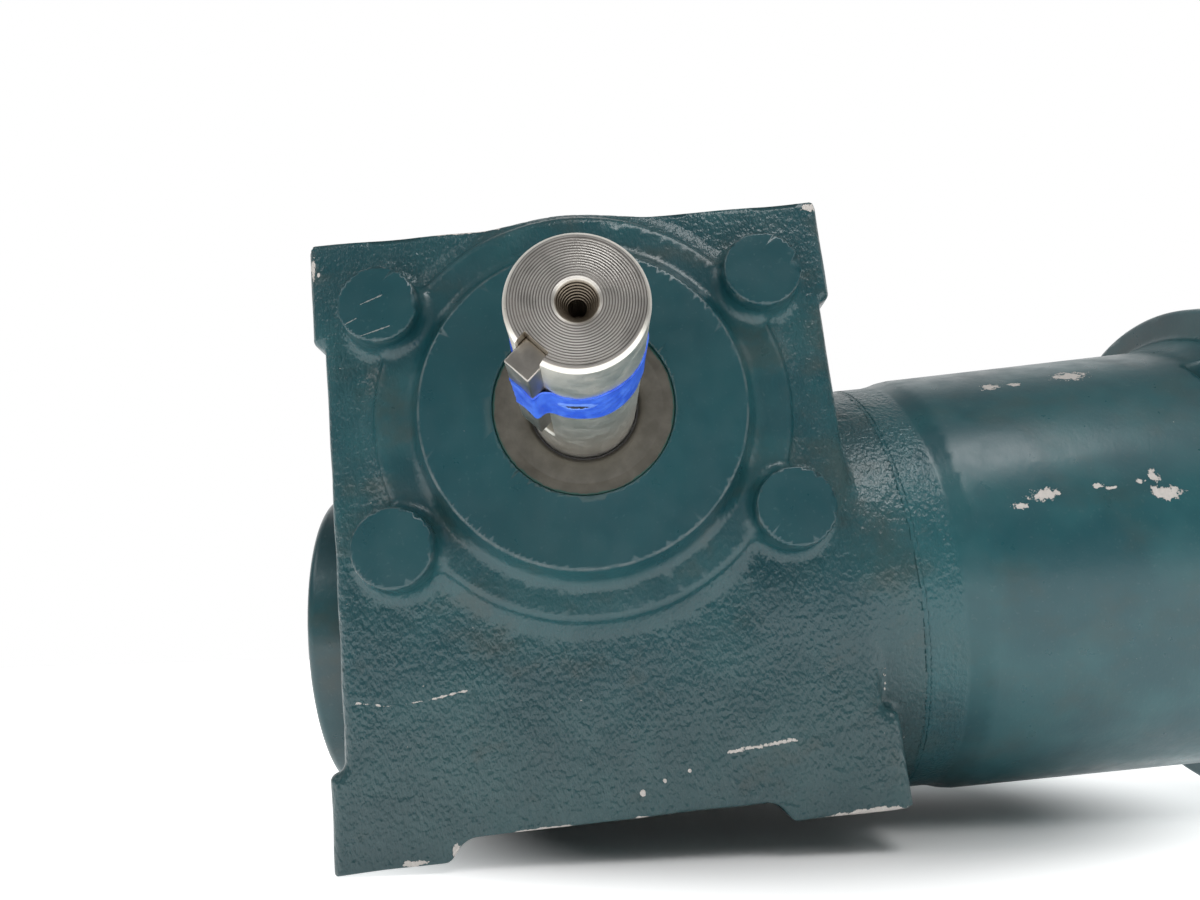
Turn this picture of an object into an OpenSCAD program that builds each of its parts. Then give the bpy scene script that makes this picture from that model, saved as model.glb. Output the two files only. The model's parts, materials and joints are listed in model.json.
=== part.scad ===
// Right-angle worm gearbox with a solid keyed output shaft and a C-face motor adapter.
// Origin: on the output shaft's axis, at the machined front face.
// +X runs along the worm towards the motor, +Y into the housing, +Z up from the feet.

/* [Layout] */
// Distance between the output shaft axis and the worm axis
centre_distance = 54; // [53.8:0.05:54.2]
// Distance from the machined front face to the worm axis
worm_y = 76.2; // [76:0.1:77]
// Distance from the worm wheel axis to the motor face
motor_face_x = 223; // [221:0.5:226]

/* [Housing] */
// Half width of the housing between the feet and the top pads
body_half_w = 73; // [72.5:0.1:74]
// Half width of the two top pads
pad_half_w = 76.2; // [75.5:0.1:76.5]
// Half width over the feet
foot_half_w = 77; // [76:0.1:77.5]
// Height of the top above the output axis
top_z = 58.8; // [58.5:0.1:60]
// Height of the feet below the output axis
foot_z = 116; // [115:0.5:118]
// Depth of the cast front surface behind the machined face
base_y = 10; // [9.5:0.1:10.5]
// Depth of the relief between the feet
relief_h = 5.5; // [4:0.5:6]

/* [Front face] */
// Radius of the machined disc
disc_r = 45.3; // [44.5:0.1:46]
// Outer radius of the cast ring round the disc
ring_r = 58.3; // [57.5:0.1:59]
// Sideways distance from the output axis to a boss
boss_x = 54.1; // [54:0.1:55]
// Height from the output axis to a boss
boss_z = 34.1; // [33.5:0.1:34.5]
// Radius of a boss
boss_r = 10.9; // [10.5:0.1:11.2]
// Height of a boss above the machined disc
boss_proud = 1.5; // [1:0.1:2]

/* [Output shaft] */
// Diameter of the output shaft (1 1/8 in)
shaft_d = 28.575; // [28.575:0.001:28.6]
// Length of the shaft in front of the machined face
shaft_len = 74.5; // [73:0.5:76]
// Side of the square key (1/4 in)
key_w = 6.35; // [6.3:0.01:6.4]
// Direction of the key round the shaft, in degrees from +X towards +Z
key_angle = 222; // [220:1:224]
// Outer diameter of the output shaft seal
seal_d = 50.4; // [50:0.1:51]

/* [Worm gearing] */
// Number of teeth on the worm wheel
wheel_teeth = 30; // [30:1:30]
// Number of threads on the worm
worm_starts = 2; // [2:1:2]
// Pitch radius of the worm
worm_pitch_r = 14; // [13.9:0.05:14.1]
// Pressure angle of the teeth, square to the thread
pressure_angle = 20; // [20:0.5:21]
// Play between tooth flanks, along the pitch line
backlash = 0.5; // [0.4:0.05:0.7]

/* [Worm end] */
// Radius of the cover at the blind end of the worm
end_cover_r = 48.4; // [48:0.1:49]
// Distance from the output axis to that cover's outer face
end_cover_x = 87; // [86.5:0.5:88]

/* [Motor adapter] */
// Radius of the cast neck that carries the adapter
neck_r = 68.2; // [67.5:0.1:68.5]
// Position of the seam between neck and adapter
seam_x = 88; // [87:0.5:89]
// Radius of the barrel just behind its bevel
barrel_r = 70; // [69.5:0.1:70.5]
// Radius of the motor flange
flange_r = 84.5; // [84:0.1:85]
// Diameter of the register for the motor (4 1/2 in)
pilot_d = 114.3; // [114.3:0.01:114.4]
// Diameter of the motor bolt circle (5 7/8 in)
motor_bolt_circle = 149.225; // [149.2:0.005:149.3]
// Diameter of the holes for the 3/8 in motor bolts
motor_hole_d = 10.4; // [10:0.1:11]
// Diameter of the motor shaft (5/8 in)
motor_shaft_d = 15.875; // [15.875:0.001:15.9]

/* [Feet] */
// Distance between the foot holes along the worm
foot_hole_dx = 122; // [120:1:124]
// Distance between the foot holes along the output shaft
foot_hole_dy = 90; // [86:1:94]

/* [Hidden] */
$fn = 96;

worm_z = -centre_distance;
shaft_r = shaft_d / 2;
seal_r = seal_d / 2;
rear_y = 2 * worm_y - base_y;
rear_face_y = 2 * worm_y;
cut = 1;                    // how far a cutting shape runs past the surface that it opens
loose = 0.1;                // radial play round a bolt, a pin or a part that is not a fit
running = 0.03;             // radial play of a running fit

// Colours
teal = "#264b52";
steel = "#b9b8b2";
dark_steel = "#6f6a60";
bronze = "#b98a45";
iron = "#55585a";
black_rubber = "#232323";
paper = "#8c7a5a";

// Front face profile
disc_foot_r = disc_r + 3.5;
ring_y = 6;
ring_foot_r = ring_r + 2.2;
boss_foot = 3.6;

// Output shaft, from front to rear
bearing_seat_r = 15;
seat_y = 13;
collar_y = 35;
collar_r = 19;
wheel_seat_r = 17;
wheel_key_w = 8;
wheel_y0 = 64;
wheel_y1 = 2 * worm_y - wheel_y0;
spacer_r = 21;
bearing_w = 18;
bearing_r = 31;
front_bearing_y = collar_y - bearing_w;
shaft_end_y = 2 * worm_y - seat_y - 2;
keyway_y1 = -25;            // where the straight part of the open keyway stops
key_y0 = -71;
key_y1 = -30;
key_depth = key_w / 2;
key_top_r = shaft_r + key_w / 2;
centre_drill_r = 4.85;
centre_pilot_r = 1.8;
end_chamfer = 1.1;
tape_y0 = -57;
tape_y1 = -40.5;
tape_t = 0.3;

// Tapered roller bearings: every raceway passes through one point on the axis
roller_tilt = 12;
roller_pitch_r = 23.4;
roller_r = 3.2;
roller_len = 11.5;
roller_count = 16;
roller_mid = bearing_w / 2 + 0.5;
roller_reach = roller_pitch_r / sin(roller_tilt);
roller_taper = atan(roller_r / roller_reach);
race_play = 0.02;           // extra angle that keeps a raceway off the rollers

// Worm and wheel
module_x = 2 * (centre_distance - worm_pitch_r) / wheel_teeth;
wheel_pitch_r = centre_distance - worm_pitch_r;
lead = PI * module_x * worm_starts;
lead_angle = atan(lead / (2 * PI * worm_pitch_r));
worm_tip_r = worm_pitch_r + module_x;
worm_root_r = worm_pitch_r - 1.2 * module_x;
wheel_tip_r = wheel_pitch_r + module_x;
wheel_root_r = wheel_pitch_r - 1.2 * module_x;
thread_half_len = 22;
wheel_half_w = 9;
rim_bore_r = 31.5;
wheel_pin_len = 11;
hub_flange_y = 3.5;         // how far the hub's shoulder is from the rim's middle plane

// Worm shaft, from left to right
left_seat_r = 10;
left_bearing_x0 = -73.5;
left_bearing_w = 15;
left_bearing_r = 26;
right_seat_r = 12.5;
right_bearing_x0 = 56;
right_bearing_w = 17;
right_bearing_r = 31;
coupling_seat_r = 9.525;    // 3/4 in
worm_left_x = -81;
worm_right_x = 150;
seal_x0 = 76.5;
seal_w = 8;
housing_bore_x1 = 85;

// Coupling
hub_r = 27;
jaw_x0 = 152;
jaw_len = 16;
hub_len = 28;
jaw_angle = 36;
jaw_bore_r = 13;
arm_angle = 22;
motor_hub_x1 = jaw_x0 + jaw_len + hub_len;
small_key_w = 4.7625;       // 3/16 in

// Covers, adapter and fasteners
end_pad_x = 76;
cover_bolt_circle_r = 54.75;
end_bolt_circle_r = 38;
adapter_bolt_circle_r = 45;
gasket_t = 0.5;
web_x1 = 105;
cover_screw_r = 2.9;        // M6 screws of the covers, and their holes
cover_hole_r = 3.4;
adapter_screw_r = 3.9;      // M8 screws of the adapter, and their holes
adapter_hole_r = 4.4;
head_recess = 6.3;          // depth of the end cover's screw heads below its face
cavity_r = 54;
pilot_depth = 4.5;
barrel_grow = 0.0167;       // how much the barrel's radius grows for each mm along it
flare_x = 195;
flange_x = 210;

// ---------- shared shapes ----------

// Points of a circular arc about [u, v]
function arc(u, v, r, a0, a1, steps = 8) =
    [for (i = [0:steps]) let (a = a0 + (a1 - a0) * i / steps) [u + r * cos(a), v + r * sin(a)]];

// Turns what is drawn about the Z axis so that it lies about the output axis, or the worm axis
module on_output() { rotate([-90, 0, 0]) children(); }
module on_worm() { translate([0, worm_y, worm_z]) rotate([0, 90, 0]) children(); }

module output_disc(y0, y1, r) { on_output() translate([0, 0, y0]) cylinder(h = y1 - y0, r = r); }
module worm_disc(x0, x1, r) { on_worm() translate([0, 0, x0]) cylinder(h = x1 - x0, r = r); }

module output_ring(y0, y1, r_out, r_in) {
    difference() {
        output_disc(y0, y1, r_out);
        output_disc(y0 - cut, y1 + cut, r_in);
    }
}

module worm_ring(x0, x1, r_out, r_in) {
    difference() {
        worm_disc(x0, x1, r_out);
        worm_disc(x0 - cut, x1 + cut, r_in);
    }
}

// Shapes turned from [radius, position] profiles
module output_turned(profile) { on_output() rotate_extrude() polygon(profile); }
module worm_turned(profile) { on_worm() rotate_extrude() polygon(profile); }

// Copies round the output axis or the worm axis, at a radius
module round_output(count, r, first = 0) {
    for (i = [0:count - 1]) rotate([0, -first - i * 360 / count, 0]) translate([r, 0, 0]) children();
}

module round_worm(count, r, first = 0) {
    translate([0, worm_y, worm_z])
        for (i = [0:count - 1]) rotate([first + i * 360 / count, 0, 0]) translate([0, r, 0]) children();
}

// Mirrors a front bearing part to the rear bearing's place
module at_rear() { translate([0, 2 * worm_y, 0]) mirror([0, 1, 0]) children(); }

// Socket head screw: its head starts at z = 0 and its shank runs down
module socket_screw(r, len) {
    head_r = 1.6 * r;
    head_h = 2 * r;
    difference() {
        union() {
            translate([0, 0, -len]) cylinder(h = len, r = r, $fn = 32);
            rotate_extrude($fn = 48)
                polygon([[0, 0], [head_r, 0], [head_r, head_h - 0.5], [head_r - 0.5, head_h], [0, head_h]]);
        }
        translate([0, 0, head_h - r]) cylinder(h = r + cut, r = 0.95 * r, $fn = 6);
    }
}

// Hexagon head screw with a washer face
module hex_screw(r, len) {
    union() {
        translate([0, 0, -len]) cylinder(h = len, r = r, $fn = 32);
        cylinder(h = 0.6, r = 1.7 * r, $fn = 48);
        translate([0, 0, 0.6]) cylinder(h = 1.3 * r, r = 1.9 * r, $fn = 6);
    }
}

// Flush pipe plug with a hexagon socket, its face at z = 0 and its body below
module pipe_plug(r, len) {
    difference() {
        translate([0, 0, -len]) cylinder(h = len, r = r, $fn = 48);
        translate([0, 0, -0.55 * len]) cylinder(h = len, r = 0.5 * r, $fn = 6);
    }
}

// Ball bearing pieces about the Z axis, from z = 0 to the bearing's width
module ball_race(r_in, r_out, width, pitch_r, groove_r) {
    chamfer = 0.8;
    rotate_extrude()
        difference() {
            polygon([
                [r_in, chamfer], [r_in + chamfer, 0], [r_out - chamfer, 0], [r_out, chamfer],
                [r_out, width - chamfer], [r_out - chamfer, width], [r_in + chamfer, width],
                [r_in, width - chamfer]
            ]);
            translate([pitch_r, width / 2]) circle(r = groove_r, $fn = 48);
        }
}

module ball_set(count, pitch_r, width, ball_r) {
    for (i = [0:count - 1])
        rotate([0, 0, i * 360 / count]) translate([pitch_r, 0, width / 2]) sphere(r = ball_r, $fn = 32);
}

module ball_cage(count, pitch_r, width, ball_r) {
    half_w = ball_r + 1.2;
    pocket_play = 0.2;
    difference() {
        translate([0, 0, width / 2 - half_w])
            difference() {
                cylinder(h = 2 * half_w, r = pitch_r + 1);
                translate([0, 0, -cut]) cylinder(h = 2 * half_w + 2 * cut, r = pitch_r - 1);
            }
        for (i = [0:count - 1])
            rotate([0, 0, i * 360 / count]) translate([pitch_r - 4, 0, width / 2]) rotate([0, 90, 0])
                cylinder(h = 8, r = ball_r + pocket_play, $fn = 48);
    }
}

// ---------- housing group ----------

housing_outline = [
    [-pad_half_w, top_z], [pad_half_w, top_z], [pad_half_w, 31], [body_half_w, 25],
    [body_half_w, -88], [foot_half_w, -93], [foot_half_w, -foot_z], [44, -foot_z],
    [40, relief_h - foot_z], [-42, relief_h - foot_z], [-46.5, -foot_z], [-foot_half_w, -foot_z],
    [-foot_half_w, -93], [-body_half_w, -88], [-body_half_w, 25], [-pad_half_w, 31]
];

front_face_profile = concat(
    [[0, 0]],
    arc(disc_r - 0.6, 0.6, 0.6, -90, -15, 3),
    arc(disc_foot_r + 1.6, ring_y - 1.8, 1.8, 165, 90, 5),
    arc(ring_r - 1.8, ring_y + 1.8, 1.8, -90, -35, 4),
    arc(ring_foot_r + 1.2, base_y - 2, 2, 145, 90, 4),
    [[ring_foot_r + 1.2, 20], [0, 20]]
);

boss_profile = concat(
    [[0, -boss_proud]],
    arc(boss_r - 0.7, 0.7 - boss_proud, 0.7, -90, -10, 3),
    arc(boss_r + boss_foot, base_y - 4.4, 3.2, 180, 115, 5),
    [[boss_r + boss_foot + 0.4, base_y + 2], [0, base_y + 2]]
);

module housing_outside() {
    neck_start_x = 42;
    translate([0, rear_y, 0]) rotate([90, 0, 0]) linear_extrude(rear_y - base_y) polygon(housing_outline);
    intersection() {
        output_turned(front_face_profile);
        translate([-90, -cut, -90]) cube([180, 30, 180]);
    }
    for (x = [-boss_x, boss_x], z = [-boss_z, boss_z])
        translate([x, 0, z]) on_output() rotate_extrude() polygon(boss_profile);
    worm_disc(-end_pad_x, -body_half_w + cut, end_cover_r);
    intersection() {
        worm_turned([
            [0, neck_start_x], [worm_y - base_y - 0.2, neck_start_x],
            [neck_r, 72], [neck_r, seam_x - gasket_t], [0, seam_x - gasket_t]
        ]);
        union() {
            translate([0, -cut, -foot_z]) cube([foot_half_w, 160, 140]);
            translate([foot_half_w, -cut, -130]) cube([30, 160, 160]);
        }
    }
}

module housing_inside() {
    chamber_r = 47.5;
    chamber_y0 = 22;
    tunnel_r = 24;
    // wheel chamber and oil sump
    output_disc(chamber_y0, rear_y + cut, chamber_r);
    translate([-48, chamber_y0, -98]) cube([96, 108, 98]);
    // worm tunnel and its two bearing bores
    worm_disc(-60, 60, tunnel_r);
    worm_disc(-end_pad_x - cut, left_bearing_x0 + left_bearing_w, left_bearing_r);
    worm_disc(-foot_half_w - cut, -end_pad_x, end_cover_r + 0.6);
    worm_disc(right_bearing_x0, seam_x + cut, right_bearing_r);
    worm_disc(73.4, 75.6, right_bearing_r + 2);
    worm_disc(housing_bore_x1, seam_x + cut, right_bearing_r + 4);
    // shaft passage and seal bore with its chamfer
    output_disc(-cut, chamber_y0 + cut, 22);
    output_turned([
        [0, -cut], [seal_r + 1.7, -cut], [seal_r, 0.7], [seal_r, 11.2], [0, 11.2]
    ]);
    // sockets for the bolts and plugs
    round_output(6, cover_bolt_circle_r) translate([0, rear_y + cut, 0]) rotate([90, 0, 0])
        cylinder(h = 19, r = 3, $fn = 32);
    round_worm(4, end_bolt_circle_r, 45) translate([-end_pad_x - cut, 0, 0]) rotate([0, 90, 0])
        cylinder(h = 15, r = 3, $fn = 32);
    round_worm(4, adapter_bolt_circle_r, 45) translate([seam_x + cut, 0, 0]) rotate([0, -90, 0])
        cylinder(h = 19, r = 4, $fn = 32);
    for (x = [-foot_hole_dx / 2, foot_hole_dx / 2], y = [-foot_hole_dy / 2, foot_hole_dy / 2])
        translate([x, worm_y + y, -foot_z - cut]) cylinder(h = 17, r = 4.25, $fn = 48);
    for (place = plug_places) plug_hole(place);
}

// Each plug: where its face is, the turn that points it outwards, and its radius
fill_place = [[-57, rear_y, 36], [-90, 0, 0], 6.5];
level_place = [[-57, rear_y, -30], [-90, 0, 0], 6.5];
drain_place = [[0, worm_y, relief_h - foot_z], [180, 0, 0], 6.5];
vent_place = [[0, 112, top_z], [0, 0, 0], 6.5];
plug_places = [fill_place, level_place, drain_place, vent_place];
plug_len = 9;

module plug_hole(place) {
    translate(place[0]) rotate(place[1]) translate([0, 0, -plug_len - 4])
        cylinder(h = plug_len + 4 + cut, r = place[2] + loose, $fn = 48);
}

module gearbox_housing() {
    color(teal) difference() {
        union() {
            difference() {
                housing_outside();
                housing_inside();
            }
            output_ring(20, 36, bearing_r + 6, bearing_r - 2);
        }
        output_disc(front_bearing_y - 0.5, 40, bearing_r);
    }
}

module rear_cover() {
    color(teal) difference() {
        union() {
            output_turned(concat(
                [[0, rear_face_y]],
                arc(disc_r - 0.6, rear_face_y - 0.6, 0.6, 90, 15, 3),
                [
                    [disc_foot_r, rear_y + 6], [ring_foot_r - 1, rear_y + 6], [ring_foot_r, rear_y + 5],
                    [ring_foot_r, rear_y + gasket_t], [0, rear_y + gasket_t]
                ]
            ));
            output_disc(2 * worm_y - 37, rear_y + cut, 47.2);
        }
        output_disc(2 * worm_y - 38, 2 * worm_y - front_bearing_y + 1.5, bearing_r);
        output_disc(2 * worm_y - front_bearing_y, 2 * worm_y - front_bearing_y + 4, 24);
        round_output(6, cover_bolt_circle_r) translate([0, rear_y - cut, 0]) rotate([-90, 0, 0])
            cylinder(h = 20, r = cover_hole_r, $fn = 32);
    }
}

module rear_cover_gasket() {
    color(paper) difference() {
        output_ring(rear_y, rear_y + gasket_t, ring_foot_r - 0.3, 48);
        round_output(6, cover_bolt_circle_r) translate([0, rear_y - cut, 0]) rotate([-90, 0, 0])
            cylinder(h = 4, r = cover_hole_r, $fn = 32);
    }
}

module rear_cover_bolts() {
    color(steel) round_output(6, cover_bolt_circle_r, 0) translate([0, rear_y + 6, 0])
        rotate([-90, 0, 0]) hex_screw(cover_screw_r, 20);
}

module rear_cover_shims() {
    y = 2 * worm_y - front_bearing_y;
    color(steel) output_ring(y + 0.2, y + 1.4, bearing_r - 0.2, 26);
}

module output_seal_case() {
    // Pressed steel cup with its closed face outwards
    face_y = 1;
    color(dark_steel) output_turned(concat(
        arc(seal_r - 1.2, face_y + 1.2, 1.2, -90, 0, 4),
        [
            [seal_r, 11], [seal_r - 1.2, 11], [seal_r - 1.2, face_y + 1.6],
            [shaft_r + 3.6, face_y + 1.6], [shaft_r + 1.1, face_y + 1.3], [shaft_r + 0.8, face_y + 0.5],
            [shaft_r + 1.6, face_y]
        ]
    ));
}

module output_seal_lip() {
    color(black_rubber) output_turned([
        [shaft_r + 3.4, 2.7], [seal_r - 1.4, 2.7], [seal_r - 1.4, 3.8], [shaft_r + 3, 4.2],
        [shaft_r + 2.4, 9.2], [shaft_r + 0.9, 9.6], [shaft_r + running, 8.6], [shaft_r + 1, 7],
        [shaft_r + 1.4, 4.6], [shaft_r + 0.25, 3.2], [shaft_r + 0.25, 2.9]
    ]);
}

module worm_end_cover() {
    inner_x = -end_pad_x - gasket_t;
    color(teal) difference() {
        union() {
            worm_turned(concat(
                [[0, -end_cover_x]],
                arc(end_cover_r - 3, 3 - end_cover_x, 3, -90, 0, 6),
                [[end_cover_r, inner_x], [0, inner_x]]
            ));
            worm_disc(inner_x - cut, left_bearing_x0 - 0.1, left_bearing_r - 0.1);
        }
        worm_disc(3.5 - end_cover_x, left_bearing_x0 + cut, 21);
        round_worm(4, end_bolt_circle_r, 45) translate([-end_cover_x - cut, 0, 0]) rotate([0, 90, 0]) {
            cylinder(h = 20, r = cover_hole_r, $fn = 32);
            cylinder(h = head_recess + cut, r = 5.6, $fn = 48);
        }
    }
}

module worm_end_gasket() {
    color(paper) difference() {
        worm_ring(-end_pad_x - gasket_t, -end_pad_x, end_cover_r - 0.3, left_bearing_r + 0.3);
        round_worm(4, end_bolt_circle_r, 45) translate([-end_pad_x - 2, 0, 0]) rotate([0, 90, 0])
            cylinder(h = 4, r = cover_hole_r, $fn = 32);
    }
}

module worm_end_bolts() {
    color(steel) round_worm(4, end_bolt_circle_r, 45) translate([head_recess - end_cover_x, 0, 0])
        rotate([0, -90, 0]) socket_screw(cover_screw_r, 16);
}

// ---------- motor adapter group ----------

// The adapter's wall: spigot, land, bevel, barrel, flare, flange, register and cavity
module adapter_wall() {
    bevel_x0 = 99;
    bevel_x = 105.5;
    barrel_end_r = barrel_r + barrel_grow * (flare_x - bevel_x);
    flare_rise = 3;
    spigot_r = right_bearing_r + 3.9;
    worm_hole_r = 22;
    worm_turned(concat(
        [[worm_hole_r, housing_bore_x1 + 0.5], [spigot_r, housing_bore_x1 + 0.5], [spigot_r, seam_x]],
        [[neck_r - 0.4, seam_x], [neck_r, seam_x + 0.4], [neck_r, bevel_x0]],
        [[barrel_r - 0.3, bevel_x - 1], [barrel_r, bevel_x + 0.5]],
        [for (i = [0:6]) let (t = i / 6)
            [barrel_end_r + flare_rise * (1 - cos(90 * t)), flare_x + (flange_x - flare_x - 3.5) * t]],
        [[barrel_end_r + flare_rise + 2, flange_x - 1.2], [barrel_end_r + flare_rise + 4, flange_x]],
        [[flange_r - 1, flange_x], [flange_r, flange_x + 1], [flange_r, motor_face_x - 0.6]],
        [[flange_r - 0.6, motor_face_x], [pilot_d / 2, motor_face_x]],
        [[pilot_d / 2, motor_face_x - pilot_depth]],
        [[cavity_r, motor_face_x - pilot_depth], [cavity_r, web_x1], [worm_hole_r, web_x1]]
    ));
}

module motor_adapter() {
    pocket_r = 9.5;
    color(teal) difference() {
        adapter_wall();
        round_worm(4, adapter_bolt_circle_r, 45) translate([seam_x - cut, 0, 0]) rotate([0, 90, 0])
            cylinder(h = web_x1 - seam_x + 2 * cut, r = adapter_hole_r, $fn = 32);
        round_worm(4, motor_bolt_circle / 2, 45) {
            translate([flange_x - cut, 0, 0]) rotate([0, 90, 0])
                cylinder(h = motor_face_x - flange_x + 2 * cut, r = motor_hole_d / 2, $fn = 48);
            translate([flange_x - 17, 0, 0]) rotate([0, 90, 0]) cylinder(h = 17, r = pocket_r);
        }
    }
}

module adapter_gasket() {
    color(paper) difference() {
        worm_ring(seam_x - gasket_t, seam_x, neck_r - 0.5, right_bearing_r + 4.3);
        round_worm(4, adapter_bolt_circle_r, 45) translate([seam_x - 3, 0, 0]) rotate([0, 90, 0])
            cylinder(h = 6, r = adapter_hole_r, $fn = 32);
    }
}

module adapter_bolts() {
    color(steel) round_worm(4, adapter_bolt_circle_r, 45) translate([web_x1, 0, 0])
        rotate([0, 90, 0]) socket_screw(adapter_screw_r, 26);
}

module input_seal_case() {
    wall = 1.2;
    x1 = seal_x0 + seal_w;
    color(dark_steel) worm_turned([
        [right_bearing_r, seal_x0], [right_bearing_r, x1], [right_seat_r + 1, x1],
        [right_seat_r + 1, x1 - wall], [right_bearing_r - wall, x1 - wall], [right_bearing_r - wall, seal_x0]
    ]);
}

module input_seal_lip() {
    x1 = seal_x0 + seal_w - 1.3;
    color(black_rubber) worm_turned([
        [right_seat_r + 0.3, x1], [right_bearing_r - 1.3, x1], [right_bearing_r - 1.3, x1 - 1.2],
        [right_seat_r + 2.6, x1 - 1.6], [right_seat_r + 2.2, seal_x0 + 0.6],
        [right_seat_r + 0.9, seal_x0 + 0.4], [right_seat_r + running, seal_x0 + 1.6],
        [right_seat_r + 1.1, seal_x0 + 3.2], [right_seat_r + 1.3, x1 - 1]
    ]);
}

module input_bearing_ring() {
    // Spring ring with a gap and two ears, in the housing's groove
    color(steel) difference() {
        worm_ring(73.6, 75.4, right_bearing_r + 1.9, right_bearing_r - 2.6);
        translate([70, worm_y - 3, worm_z + 20]) cube([10, 6, 20]);
    }
}

// ---------- tapered roller bearings on the output shaft ----------

// Position of the shared apex, and the radius of a raceway at a position, both from the outer face
roller_apex = roller_mid - roller_reach * cos(roller_tilt);
function race_r(at, angle) = (at - roller_apex) * tan(angle);
cup_angle = roller_tilt + roller_taper + race_play;
cone_angle = roller_tilt - roller_taper - race_play;

module bearing_cup() {
    y = front_bearing_y;
    color(steel) output_turned([
        [bearing_r - 0.8, y], [bearing_r, y + 0.8], [bearing_r, y + 15.2], [bearing_r - 0.8, y + 16],
        [race_r(16, cup_angle), y + 16], [race_r(0, cup_angle), y]
    ]);
}

module bearing_cone() {
    y = front_bearing_y;
    rib = 1.3;
    lip_at = roller_mid - roller_len / 2 - 1;
    rib_at = roller_mid + roller_len / 2 * cos(roller_tilt) + roller_r * sin(roller_tilt) + 0.3;
    color(steel) output_turned([
        [bearing_seat_r, y + 1.5], [bearing_seat_r, y + bearing_w],
        [race_r(rib_at, cone_angle) + rib, y + bearing_w], [race_r(rib_at, cone_angle) + rib, y + rib_at],
        [race_r(rib_at, cone_angle), y + rib_at], [race_r(lip_at, cone_angle), y + lip_at],
        [race_r(lip_at, cone_angle) + 0.4, y + lip_at - 0.3], [race_r(lip_at, cone_angle) + 0.4, y + 1.5]
    ]);
}

// The rollers, with play added when they are used to cut the cage's pockets
module rollers(play = 0) {
    half = roller_len / 2 + play;
    grow = tan(roller_taper) * half;
    for (i = [0:roller_count - 1])
        rotate([0, i * 360 / roller_count, 0])
            translate([roller_pitch_r, front_bearing_y + roller_mid, 0])
                rotate([0, 0, -roller_tilt]) rotate([-90, 0, 0]) translate([0, 0, -half])
                    cylinder(
                        h = 2 * half, r1 = roller_r - grow + play, r2 = roller_r + grow + play, $fn = 32
                    );
}

module cage_solid() {
    y = front_bearing_y;
    from = roller_mid - roller_len / 2 - 0.7;
    to = roller_mid + roller_len / 2 + 1;
    wall = 0.8;
    difference() {
        output_turned([
            [race_r(from, roller_tilt + 0.3), y + from], [race_r(to, roller_tilt + 0.3), y + to],
            [race_r(to, roller_tilt + 0.3) + wall, y + to], [race_r(from, roller_tilt + 0.3) + wall, y + from]
        ]);
        rollers(0.15);
    }
}

module front_bearing_cup() { bearing_cup(); }
module rear_bearing_cup() { at_rear() bearing_cup(); }
module front_bearing_cone() { bearing_cone(); }
module rear_bearing_cone() { at_rear() bearing_cone(); }
module front_bearing_rollers() { color(steel) rollers(); }
module rear_bearing_rollers() { color(steel) at_rear() rollers(); }
module front_bearing_cage() { color(dark_steel) cage_solid(); }
module rear_bearing_cage() { color(dark_steel) at_rear() cage_solid(); }

// ---------- ball bearings on the worm shaft ----------

left_pitch_r = (left_seat_r + left_bearing_r) / 2;
left_ball_r = 4.76;
left_ball_count = 7;
right_pitch_r = (right_seat_r + right_bearing_r) / 2;
right_ball_r = 5.6;
right_ball_count = 7;
race_gap = 0.12;
race_step = 0.55;           // a ring's thickness as a share of the ball's diameter

module at_left_bearing() { on_worm() translate([0, 0, left_bearing_x0]) children(); }
module at_right_bearing() { on_worm() translate([0, 0, right_bearing_x0]) children(); }

module left_bearing_outer() {
    color(steel) at_left_bearing() ball_race(
        left_pitch_r + race_step * left_ball_r, left_bearing_r, left_bearing_w, left_pitch_r,
        left_ball_r + race_gap);
}
module left_bearing_inner() {
    color(steel) at_left_bearing() ball_race(
        left_seat_r, left_pitch_r - race_step * left_ball_r, left_bearing_w, left_pitch_r,
        left_ball_r + race_gap);
}
module left_bearing_balls() {
    color(steel) at_left_bearing() ball_set(left_ball_count, left_pitch_r, left_bearing_w, left_ball_r);
}
module left_bearing_cage() {
    color(dark_steel) at_left_bearing() ball_cage(left_ball_count, left_pitch_r, left_bearing_w, left_ball_r);
}
module right_bearing_outer() {
    color(steel) at_right_bearing() ball_race(
        right_pitch_r + race_step * right_ball_r, right_bearing_r, right_bearing_w, right_pitch_r,
        right_ball_r + race_gap);
}
module right_bearing_inner() {
    color(steel) at_right_bearing() ball_race(
        right_seat_r, right_pitch_r - race_step * right_ball_r, right_bearing_w, right_pitch_r,
        right_ball_r + race_gap);
}
module right_bearing_balls() {
    color(steel) at_right_bearing() ball_set(right_ball_count, right_pitch_r, right_bearing_w, right_ball_r);
}
module right_bearing_cage() {
    color(dark_steel) at_right_bearing()
        ball_cage(right_ball_count, right_pitch_r, right_bearing_w, right_ball_r);
}

// ---------- plugs ----------

module placed_plug(place) {
    color(dark_steel) translate(place[0]) rotate(place[1]) translate([0, 0, -0.6])
        pipe_plug(place[2], plug_len);
}
module fill_plug() { placed_plug(fill_place); }
module level_plug() { placed_plug(level_place); }
module drain_plug() { placed_plug(drain_place); }
module vent_plug() { placed_plug(vent_place); }

// ---------- output shaft group ----------

// The key's slot, with the curved run-out that a disc cutter leaves
module keyway() {
    cutter_r = 20;
    rotate([0, -key_angle, 0]) {
        translate([shaft_r - key_depth, -shaft_len - cut, -key_w / 2])
            cube([key_w, shaft_len + cut + keyway_y1, key_w]);
        translate([shaft_r - key_depth + cutter_r, keyway_y1, -key_w / 2])
            cylinder(h = key_w, r = cutter_r);
    }
}

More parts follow.
